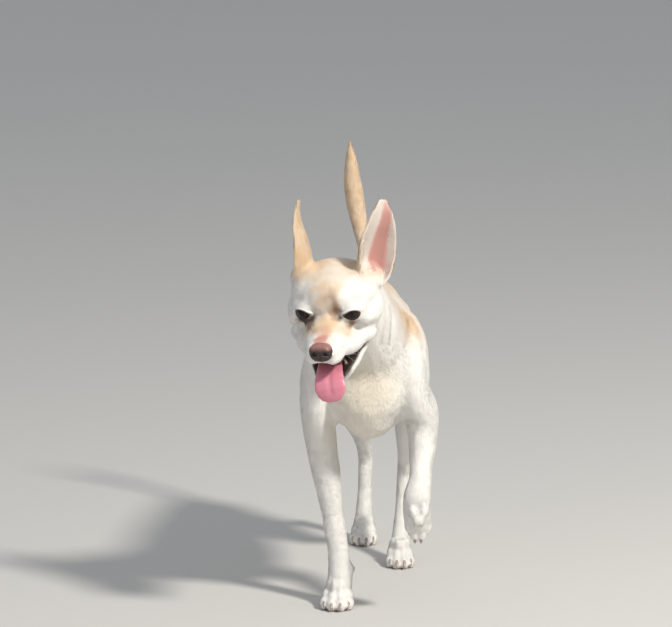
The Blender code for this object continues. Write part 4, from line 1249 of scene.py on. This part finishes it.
class Coat:
    """The coat: solid tufts that grow from the skin and lie along it, in pieces of under 200,000 triangles."""

    seed: int = 11
    share: float = 1.0
    faces: Array = np.array(
        [(0, 1, 4), (0, 4, 2), (1, 3, 4), (2, 4, 5), (4, 3, 5), (0, 2, 3), (0, 3, 1), (2, 5, 3)]
    )
    patch: Array = np.array(
        [(-0.0006, -0.0015), (0.0006, -0.0015), (-0.0015, 0), (0.0015, 0), (0, 0.0002), (0, 0.0015)]
    )

    def __init__(self, anatomy: Anatomy, skin: Skin) -> None:
        """Keeps the skin it grows on.

        Args:
            anatomy: Where the parts lie.
            skin: The skin, with its markings.
        """
        self.anatomy = anatomy
        self.skin = skin
        self.rng = np.random.default_rng(self.seed)
        self.points = skin.shell.points
        self.triangles = skin.shell.triangles()
        self.tree = BVHTree.FromPolygons(self.points.tolist(), self.triangles.tolist())
        self.read_combs()

    def read_combs(self) -> None:
        """Gathers the places, ways and hair of all strokes."""
        places, ways, hair = [], [], []
        for comb in COMBS:
            at, way = comb.samples(self.anatomy)
            places.append(at)
            ways.append(way)
            kind = comb.hair
            hair.append(np.tile((kind.length, kind.width, kind.lift, kind.density), (len(at), 1)))
        self.places, self.ways, self.hair = map(np.concatenate, (places, ways, hair))

    def combed(self, points: Array, normals: Array) -> tuple[Array, Array]:
        """The way the coat lies and its hair at each point.

        Args:
            points: Places on the skin.
            normals: The skin's normals there.

        Returns:
            Unit ways along the skin, and a row of length, width, lift and density each.
        """
        ways, hair = np.empty_like(points), np.empty((len(points), 4))
        for start in range(0, len(points), 8000):
            some = slice(start, start + 8000)
            distance = ((points[some, None, :] - self.places) ** 2).sum(axis=2)
            distance -= distance.min(axis=1, keepdims=True)
            weight = np.exp(-distance / (8.0 * MM) ** 2)
            weight /= weight.sum(axis=1, keepdims=True)
            ways[some] = weight @ self.ways
            hair[some] = weight @ self.hair
        ways -= (ways * normals).sum(axis=1, keepdims=True) * normals
        return unit(ways), hair

    def cover(self) -> Array:
        """How densely each of the skin's triangles is haired, as tufts."""
        corners = self.points[self.triangles]
        cross = np.cross(corners[:, 1] - corners[:, 0], corners[:, 2] - corners[:, 0])
        area = np.linalg.norm(cross, axis=1) / 2 / MM**2
        middle = corners.mean(axis=1)
        _, hair = self.combed(middle, unit(cross))
        mark = {m: values[self.triangles].mean(axis=1) for m, values in self.skin.marks.items()}
        thin = 1 - ramp(mark[Mark.BARE], 0.42, 0.78)
        thin *= 1 - ramp(mark[Mark.MOUTH], 0.15, 0.4)
        thin *= 1 - 0.75 * ramp(mark[Mark.DARK], 0.6, 0.95)
        thin *= ramp(self.skin.rim[self.triangles].min(axis=1), 0.35, 0.9)
        head = local(self.anatomy.head(), middle)
        nose = np.linalg.norm((head - self.anatomy.nose_at) / (9.0, 6.4, 7.0), axis=1)
        thin *= ramp(nose, 0.98, 1.06)
        thin[middle[:, 2] < 0.8 * MM] = 0
        return area * hair[:, 3] * thin

    def roots(self) -> tuple[Array, Array, Array, dict[Mark, Array]]:
        """Picks the tufts' roots.

        Returns:
            Their places, the skin's normals there, the number of the node each lies on, and their markings.
        """
        wanted = np.cumsum(self.cover() * self.share)
        count = int(wanted[-1])
        picks = (np.arange(count) + self.rng.random(count)) * wanted[-1] / count
        chosen = np.minimum(np.searchsorted(wanted, picks), len(wanted) - 1)
        a, b = self.rng.random((2, count))
        flip = a + b > 1
        a[flip], b[flip] = 1 - a[flip], 1 - b[flip]
        share = np.stack([1 - a - b, a, b], axis=1)
        corner = self.triangles[chosen]
        places = (self.points[corner] * share[..., None]).sum(axis=1)
        normals = unit((self.skin.normal[corner] * share[..., None]).sum(axis=1))
        marks = {m: (values[corner] * share).sum(axis=1) for m, values in self.skin.marks.items()}
        return places, normals, self.skin.labels[corner[:, 0]], marks

    def on_skin(self, points: Array) -> tuple[Array, Array]:
        """The nearest places on the skin, and its normals there."""
        places, normals = np.empty_like(points), np.empty_like(points)
        for i, point in enumerate(points):
            near, normal, _, _ = self.tree.find_nearest(point)
            places[i], normals[i] = near, normal
        return places, normals

    def tufts(self, root: Array, normal: Array, way: Array, hair: Array) -> Array:
        """The six points of each tuft.

        Args:
            root: Where each grows.
            normal: The skin's normal there.
            way: The way it lies.
            hair: Its length, width, lift and density.

        Returns:
            The points, by tuft and number.
        """
        count = len(root)
        length = hair[:, 0] * MM * self.rng.uniform(0.72, 1.28, count)
        width = hair[:, 1] * MM * self.rng.uniform(0.75, 1.25, count)
        lift = hair[:, 2] * MM * self.rng.uniform(0.6, 1.25, count)
        swing = np.radians(9 * ripple(root, 0.012, 8) + self.rng.normal(0, 7, count))
        side = np.cross(normal, way)
        way = way * np.cos(swing)[:, None] + side * np.sin(swing)[:, None]
        side = np.cross(normal, way)
        mid, mid_normal = self.on_skin(root + way * (0.45 * length)[:, None])
        tip, tip_normal = self.on_skin(root + way * length[:, None])
        mid = mid + mid_normal * (0.62 * lift)[:, None]
        tip = tip + tip_normal * lift[:, None]
        tip += side * (self.rng.normal(0, 0.05, count) * length)[:, None]
        foot = root - normal * 0.15 * MM
        half = side * (width / 2)[:, None]
        ridge = mid + normal * (width * 0.18)[:, None]
        return np.stack([foot + half * 0.7, foot - half * 0.7, mid + half, mid - half, ridge, tip], axis=1)

    def sheen(self, normal: Array, way: Array) -> Array:
        """Normals that shade each tuft as part of the coat's surface, leaning a little to either side of it."""
        side = np.cross(normal, way)
        lean = np.array((0.0, 0.0, 0.22, -0.22, 0.0, 0.0))[None, :, None]
        back = np.array((-0.10, -0.10, 0.0, 0.0, 0.0, 0.14))[None, :, None]
        found = normal[:, None, :] + lean * side[:, None, :] + back * way[:, None, :]
        return unit(found).reshape(-1, 3)

    def piece_of(self, root: Array, label: Array) -> dict[str, Array]:
        """Which tufts belong to each piece."""
        body = local(self.anatomy.body(), root)
        head = local(self.anatomy.head(), root)
        on = {name: label == number for number, name in enumerate(FLESH)}
        skull = on["head"] | on["lower_jaw"]
        front = head[:, 1] < -14
        chest = body[:, 1] < -62
        return {
            "coat_face_left": skull & front & (head[:, 0] >= 0),
            "coat_face_right": skull & front & (head[:, 0] < 0),
            "coat_crown": skull & ~front,
            "coat_ears": on["ear_left"] | on["ear_right"],
            "coat_neck": on["neck"],
            "coat_chest": on["torso"] & chest,
            "coat_flanks": on["torso"] & ~chest & (body[:, 1] < 20),
            "coat_rump": on["torso"] & (body[:, 1] >= 20),
            "coat_forelegs": on["foreleg_left"] | on["foreleg_right"],
            "coat_hindleg_left": on["hindleg_left"],
            "coat_hindleg_right": on["hindleg_right"],
            "coat_tail": on["tail"],
        }

    def grow(self) -> list[bpy.types.Object]:
        """Grows all pieces of the coat."""
        root, normal, label, marks = self.roots()
        way, hair = self.combed(root, normal)
        points = self.tufts(root, normal, way, hair)
        tone = self.rng.random(len(root))
        material = CoatFinish().material()
        unwrap = Unwrap(self.skin.obj)
        pieces = []
        for name, chosen in self.piece_of(root, label).items():
            some = np.nonzero(chosen)[0]
            count = len(some)
            faces = (self.faces[None] + 6 * np.arange(count)[:, None, None]).reshape(-1, 3)
            piece = built(name, points[some].reshape(-1, 3), faces)
            for mark, values in marks.items():
                store(piece, mark.value, np.repeat(values[some], 6))
            store(piece, "tone", np.repeat(tone[some], 6))
            store(piece, "along", np.tile((0, 0, 0.4, 0.4, 0.4, 1.0), count))
            smooth_shaded(piece)
            piece.data.normals_split_custom_set_from_vertices(self.sheen(normal[some], way[some]))
            places = unwrap.places(root[some])
            loops = (places[:, None, :] + self.patch)[np.arange(count)[:, None, None], self.faces[None]]
            layer = piece.data.uv_layers.new(name="OFBake")
            layer.data.foreach_set("uv", np.clip(loops, 0, 1).astype(np.float32).ravel())
            piece.data.materials.append(material)
            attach(piece, "root")
            pieces.append(piece)
            LOG.info("%s: %d tufts, %d triangles", name, count, 8 * count)
        return pieces


class Unwrap:
    """An unwrap of the skin's own shape, made afresh for the part of it that a piece of coat covers."""

    triangles: int = 9000

    def __init__(self, skin: bpy.types.Object) -> None:
        """Makes a thinned copy of the skin.

        Args:
            skin: The skin.
        """
        self.obj = linked("unwrap", skin.data.copy())
        thin = self.obj.modifiers.new("thin", "DECIMATE")
        thin.ratio = self.triangles / len(skin.data.polygons)
        thin.use_collapse_triangulate = True
        settle(self.obj)
        shell = Shell(self.obj)
        self.points, self.triangle = shell.points, shell.triangles()
        self.tree = BVHTree.FromPolygons(self.points.tolist(), self.triangle.tolist())
        bpy.data.objects.remove(self.obj)

    def places(self, roots: Array) -> Array:
        """Where each root lies on the unwrap.

        Args:
            roots: Places on the skin.

        Returns:
            Two coordinates each, from 0 to 1.
        """
        near = [self.tree.find_nearest(root) for root in roots]
        face = np.array([found[2] for found in near])
        used, number = np.unique(face, return_inverse=True)
        flat = built("unwrap_piece", self.points, self.triangle[used])
        bpy.context.view_layer.objects.active = flat
        flat.select_set(True)
        flat.data.uv_layers.new(name="flat")
        bpy.ops.object.mode_set(mode="EDIT")
        bpy.ops.mesh.select_all(action="SELECT")
        bpy.ops.uv.smart_project(angle_limit=math.radians(66), island_margin=0.004)
        bpy.ops.object.mode_set(mode="OBJECT")
        uv = np.empty(len(used) * 6, np.float32)
        flat.data.uv_layers["flat"].data.foreach_get("uv", uv)
        uv = uv.reshape(-1, 3, 2)[number]
        bpy.data.objects.remove(flat)
        corner = self.points[self.triangle[face]]
        point = np.array([found[0][:] for found in near])
        one, two, to = corner[:, 1] - corner[:, 0], corner[:, 2] - corner[:, 0], point - corner[:, 0]
        aa, ab, bb = (one * one).sum(1), (one * two).sum(1), (two * two).sum(1)
        ta, tb = (to * one).sum(1), (to * two).sum(1)
        scale = np.maximum(aa * bb - ab * ab, 1e-18)
        b = np.clip((bb * ta - ab * tb) / scale, 0, 1)
        c = np.clip((aa * tb - ab * ta) / scale, 0, 1)
        a = np.clip(1 - b - c, 0, 1)
        return (uv * np.stack([a, b, c], axis=1)[..., None]).sum(axis=1)


@dataclass
class Eye:
    """An eyeball with its cornea, behind the lids."""

    anatomy: Anatomy
    name: str
    side: int
    gaze: tuple[float, float] = (6.0, -6.0)
    bulge: float = 0.45

    def build(self) -> bpy.types.Object:
        """The eye's mesh, in its socket."""
        bm = bmesh.new()
        matrix = self.anatomy.eye(self.side) @ turned(z=-self.side * self.gaze[0]) @ turned(x=self.gaze[1])
        pole = turned(x=90)
        bmesh.ops.create_uvsphere(bm, u_segments=48, v_segments=32, radius=self.anatomy.eye_radius, matrix=pole)
        for vertex in bm.verts:
            across = math.hypot(vertex.co.x, vertex.co.z) / self.anatomy.eye_radius
            if vertex.co.y < 0:
                vertex.co.y -= self.bulge * (1 - min(1.0, across / 0.66) ** 2) ** 2
        bmesh.ops.transform(bm, matrix=matrix, verts=bm.verts)
        obj = made(self.name, bm)
        spots = local(matrix, Shell(obj).points)
        across = np.hypot(spots[:, 0], spots[:, 2]) / self.anatomy.eye_radius
        store(obj, "across", np.where(spots[:, 1] < 0, across, 2 - across))
        smooth_shaded(obj)
        return obj


@dataclass
class Nose:
    """The nose leather, worked over its solid."""

    anatomy: Anatomy
    voxel: float = 0.38 * MM

    def build(self) -> bpy.types.Object:
        """The nose's mesh."""
        obj = clay("nose_leather", solid_copy(("nose",), 0.3 * MM), self.voxel)
        shell = Shell(obj)
        shell.points = shell.spread(shell.points, 6)
        matrix = self.anatomy.head() @ Matrix.Translation(self.anatomy.nose_at) @ turned(x=-8)
        strokes: list[tuple[Triple, float, Triple]] = [
            ((0, -5.6, -1.0), 1.3, (0, 0.7, 0)),
            ((0, -5.4, -3.4), 1.5, (0, 1.0, 0)),
            ((0, -4.6, -5.6), 1.6, (0, 1.0, 0.3)),
        ]
        for side in (1, -1):
            strokes += [
                ((side * 5.6, -4.8, 2.4), 3.0, (side * 0.3, -0.35, 0.1)),
                ((side * 2.4, -5.6, -3.0), 2.4, (0, -0.3, 0)),
                ((side * 7.8, -3.0, -1.0), 1.5, (-side * 0.7, 0.4, 0)),
            ]
        shell.push(matrix, strokes)
        shell.write()
        spots = local(matrix, shell.points)
        top = ramp(spots[:, 2], 1.4, 5.0) * (1 - 0.4 * ramp(-spots[:, 1], 3.5, 5.5))
        store(obj, "top", top)
        smooth_shaded(obj)
        return obj


@dataclass
class Tongue:
    """The tongue, worked over its solid, with a groove along its middle."""

    anatomy: Anatomy
    voxel: float = 0.5 * MM

    def build(self) -> bpy.types.Object:
        """The tongue's mesh."""
        obj = clay("tongue_soft", solid_copy(("tongue",), 0.0), self.voxel)
        shell = Shell(obj)
        shell.points = shell.spread(shell.points, 10)
        shell.points += shell.normals() * 0.25 * MM
        jaw = self.anatomy.jaw()
        line = np.array([(0, -8, -18), (0.5, -31, -19.4), (1.6, -46, -19.6), (3.2, -57.6, -20.2), (5.0, -65.4, -27.6)])
        strokes = []
        for a, b in zip(line, line[1:]):
            for k in range(6):
                spot = a + (b - a) * k / 6
                strokes.append((tuple(spot), 3.4, (0, 0.14, -0.38)))
        shell.push(jaw, strokes)
        shell.points = shell.spread(shell.points, 2)
        shell.write()
        spots = local(jaw, shell.points)
        # Painted shade: how far the tongue darkens towards its root, inside the mouth.
        store(obj, "root", 0.85 * (1 - ramp(-spots[:, 1], 34, 54)))
        smooth_shaded(obj)
        return obj


@dataclass
class Teeth:
    """Small teeth in both jaws."""

    anatomy: Anatomy
    upper: tuple = (
        (1.4, -50.5, -24.2, -3.6, 1.05),
        (3.8, -49.8, -24.0, -3.6, 1.05),
        (7.0, -46.5, -22.8, -5.0, 1.4),
        (10.4, -36.0, -22.2, -3.9, 1.75),
        (13.2, -28.0, -22.2, -3.7, 2.05),
    )
    lower: tuple = (
        (1.3, -52.0, -25.8, 3.0, 0.95),
        (3.4, -51.6, -25.8, 3.0, 0.95),
        (6.0, -49.4, -25.6, 5.6, 1.3),
        (11.4, -37.0, -25.4, 3.6, 1.45),
        (14.6, -28.0, -25.0, 3.8, 1.75),
    )

    def build(self) -> bpy.types.Object:
        """All teeth as one mesh."""
        bm = bmesh.new()
        for matrix, rows in ((self.anatomy.head(), self.upper), (self.anatomy.jaw(), self.lower)):
            for x, y, z, length, radius in rows:
                for side in (1, -1):
                    turn = turned(x=180 if length < 0 else 0)
                    place = matrix @ Matrix.Translation((side * x, y, z + length / 2)) @ turn
                    bmesh.ops.create_cone(
                        bm,
                        cap_ends=True,
                        segments=12,
                        radius1=radius,
                        radius2=radius * 0.3,
                        depth=abs(length),
                        matrix=place,
                    )
        obj = made("teeth", bm)
        smooth_shaded(obj)
        return obj


@dataclass
class Claws:
    """Curved claws on every toe."""

    anatomy: Anatomy
    radius: float = 1.5

    def build(self) -> bpy.types.Object:
        """All claws as one mesh."""
        bm = bmesh.new()
        for paw in PAWS:
            matrix = self.anatomy.paw(paw)
            for x, tip in self.anatomy.toes(paw):
                stations = (
                    (tip + 1.6, 6.6, 1.0, 1.2),
                    (tip - 0.4, 6.5, 1.0, 1.18),
                    (tip - 1.8, 6.0, 0.92, 1.08),
                    (tip - 3.1, 5.0, 0.7, 0.8),
                    (tip - 4.0, 3.6, 0.36, 0.42),
                    (tip - 4.4, 2.8, 0.12, 0.14),
                )
                loops = []
                for y, z, wide, high in stations:
                    size = Matrix.Diagonal((self.radius * wide, self.radius * high, 1, 1))
                    place = matrix @ Matrix.Translation((x, y, z)) @ turned(x=90) @ size
                    ring = bmesh.ops.create_circle(bm, segments=12, radius=1.0, matrix=place)["verts"]
                    loops.append(list({edge for vertex in ring for edge in vertex.link_edges}))
                for one, two in zip(loops, loops[1:]):
                    bmesh.ops.bridge_loops(bm, edges=one + two)
                for end in (loops[0], loops[-1]):
                    bmesh.ops.contextual_create(bm, geom=end)
        obj = made("claws", bm)
        smooth_shaded(obj)
        return obj


@dataclass
class Whiskers:
    """Fine whiskers on the muzzle."""

    anatomy: Anatomy
    seed: int = 5

    def build(self) -> bpy.types.Object:
        """All whiskers as one mesh of thin three-sided cones."""
        rng = np.random.default_rng(self.seed)
        rows = []
        for side in (1, -1):
            for row in range(3):
                for k in range(4):
                    at = (side * (9.5 + 2.6 * k + 0.5 * row), -47.5 + 3.6 * k, -17.5 - 2.8 * row)
                    way = (side * (0.75 + 0.1 * k), -0.35 + 0.2 * k, -0.1 - 0.16 * row)
                    rows.append((at, way, 13 + 2.0 * k + rng.uniform(-2, 2)))
        points, faces = [], []
        matrix = self.anatomy.head()
        for at, way, length in rows:
            way = unit(np.array(way) + rng.normal(0, 0.08, 3))
            droop = np.array((0.0, 0.25, -0.35))
            side = unit(np.cross(way, (0.1, 0.2, 1.0)))
            up = np.cross(side, way)
            start = len(points)
            steps = 6
            for k in range(steps):
                t = k / steps
                middle = np.array(at) + way * length * t + droop * length * t * t * 0.5
                radius = 0.06 * (1 - t) + 0.015
                for turn in (0, 2 * math.pi / 3, 4 * math.pi / 3):
                    points.append(middle + radius * (side * math.cos(turn) + up * math.sin(turn)))
            points.append(np.array(at) + way * length + droop * length * 0.5)
            for k in range(steps - 1):
                for j in range(3):
                    a, b = start + 3 * k + j, start + 3 * k + (j + 1) % 3
                    faces += [(a, b, b + 3), (a, b + 3, a + 3)]
            last = start + 3 * (steps - 1)
            faces += [(last + j, last + (j + 1) % 3, start + 3 * steps) for j in range(3)]
            faces.append((start + 2, start + 1, start))
        obj = built("whiskers", placed(matrix, np.array(points)), np.array(faces))
        smooth_shaded(obj)
        return obj


@dataclass(frozen=True)
class Studio:
    """The floor, the light and the camera."""

    azimuth: float = 1.5
    elevation: float = 9.0
    distance: float = 3.0
    grain: float = 0.74 * MM
    anchor: Triple = (-22.0, -112.0, 5.0)
    anchor_pixel: tuple[float, float] = (338.0, 604.0)

    def floor(self) -> None:
        """A wide pale floor."""
        bm = bmesh.new()
        bmesh.ops.create_grid(bm, x_segments=4, y_segments=4, size=15.0)
        floor = made("floor", bm)
        floor.data.materials.append(FloorFinish().material())

    def light(self) -> None:
        """A soft key from the upper right, a broad fill, and a pale sky."""
        world = bpy.data.worlds.new("sky")
        world.use_nodes = True
        background = world.node_tree.nodes["Background"]
        background.inputs["Color"].default_value = (0.88, 0.93, 1.0, 1.0)
        background.inputs["Strength"].default_value = 0.5
        bpy.context.scene.world = world
        bpy.context.scene.view_settings.view_transform = "Standard"
        lamps = (
            ("key", (1.36, -1.33, 1.98), 0.35, 66.0, (1.0, 0.97, 0.90)),
            ("fill", (-1.6, -2.2, 1.0), 1.6, 5.0, (0.95, 0.97, 1.0)),
        )
        for name, at, size, power, tint in lamps:
            data = bpy.data.lights.new(name, "AREA")
            data.shape = "DISK"
            data.size = size
            data.energy = power
            data.color = tint
            lamp = bpy.data.objects.new(name, data)
            lamp.location = at
            lamp.rotation_euler = (Vector((0, -0.05, 0.18)) - Vector(at)).to_track_quat("-Z", "Y").to_euler()
            bpy.context.scene.collection.objects.link(lamp)

    def camera(self, anatomy: Anatomy) -> None:
        """The photo's view.

        Args:
            anatomy: Where the dog lies.
        """
        turn, tip = math.radians(self.azimuth), math.radians(self.elevation)
        back = Vector((math.sin(turn) * math.cos(tip), -math.cos(turn) * math.cos(tip), math.sin(tip)))
        right = (-back).cross(Vector((0, 0, 1))).normalized()
        up = right.cross(-back)
        anchor = anatomy.body() @ Vector(self.anchor)
        across = (self.anchor_pixel[0] - IMAGE[0] / 2) * self.grain
        rise = -(self.anchor_pixel[1] - IMAGE[1] / 2) * self.grain
        data = bpy.data.cameras.new("camera")
        data.sensor_fit = "HORIZONTAL"
        data.sensor_width = 36.0
        data.lens = 36.0 * self.distance / (self.grain * IMAGE[0])
        data.clip_start, data.clip_end = 0.05, 60.0
        camera = bpy.data.objects.new("camera", data)
        matrix = Matrix((right, up, back)).transposed().to_4x4()
        matrix.translation = anchor - right * across - up * rise + back * self.distance
        camera.matrix_world = matrix
        bpy.context.scene.collection.objects.link(camera)
        bpy.context.scene.camera = camera


def finished(obj: bpy.types.Object, material: bpy.types.Material, slot: str, *nodes: str) -> None:
    """Dresses a piece, sets it riding, and lets it stand for its nodes.

    Args:
        obj: The piece.
        material: Its material.
        slot: The record's material slot; not used.
        nodes: The nodes it stands for.
    """
    obj.data.materials.clear()
    obj.data.materials.append(material)
    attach(obj, "root")
    if nodes:
        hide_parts(*nodes)
    LOG.info("%s: %d triangles", obj.name, len(Shell(obj).triangles()))


def main() -> None:
    """Builds every piece of the dog and its studio."""
    logging.basicConfig(level=logging.INFO, format="%(name)s: %(message)s")
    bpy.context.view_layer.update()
    anatomy = Anatomy()
    studio = Studio()
    studio.camera(anatomy)
    studio.floor()
    studio.light()
    skin = Skin(anatomy)
    skin.mark(Markings(anatomy))
    finished(skin.obj, SkinFinish().material(), "coat", *FLESH)
    eye_finish = EyeFinish().material()
    for name, side in (("eye_left", 1), ("eye_right", -1)):
        finished(Eye(anatomy, f"{name}_wet", side).build(), eye_finish, "eye", name)
    finished(Nose(anatomy).build(), NoseFinish().material(), "nose_leather", "nose")
    finished(Tongue(anatomy).build(), TongueFinish().material(), "tongue", "tongue")
    ivory = HornFinish("ivory", (0.80, 0.74, 0.60), (0.62, 0.52, 0.36), 0.25)
    horn = HornFinish("claw_horn", (0.50, 0.40, 0.34), (0.22, 0.15, 0.12), 0.35)
    hair = HornFinish("whisker", (0.85, 0.82, 0.78), (0.62, 0.56, 0.50), 0.4)
    finished(Teeth(anatomy).build(), ivory.material(), "eye")
    finished(Claws(anatomy).build(), horn.material(), "coat")
    finished(Whiskers(anatomy).build(), hair.material(), "coat")
    Coat(anatomy, skin).grow()


if __name__ == "__main__":
    main()
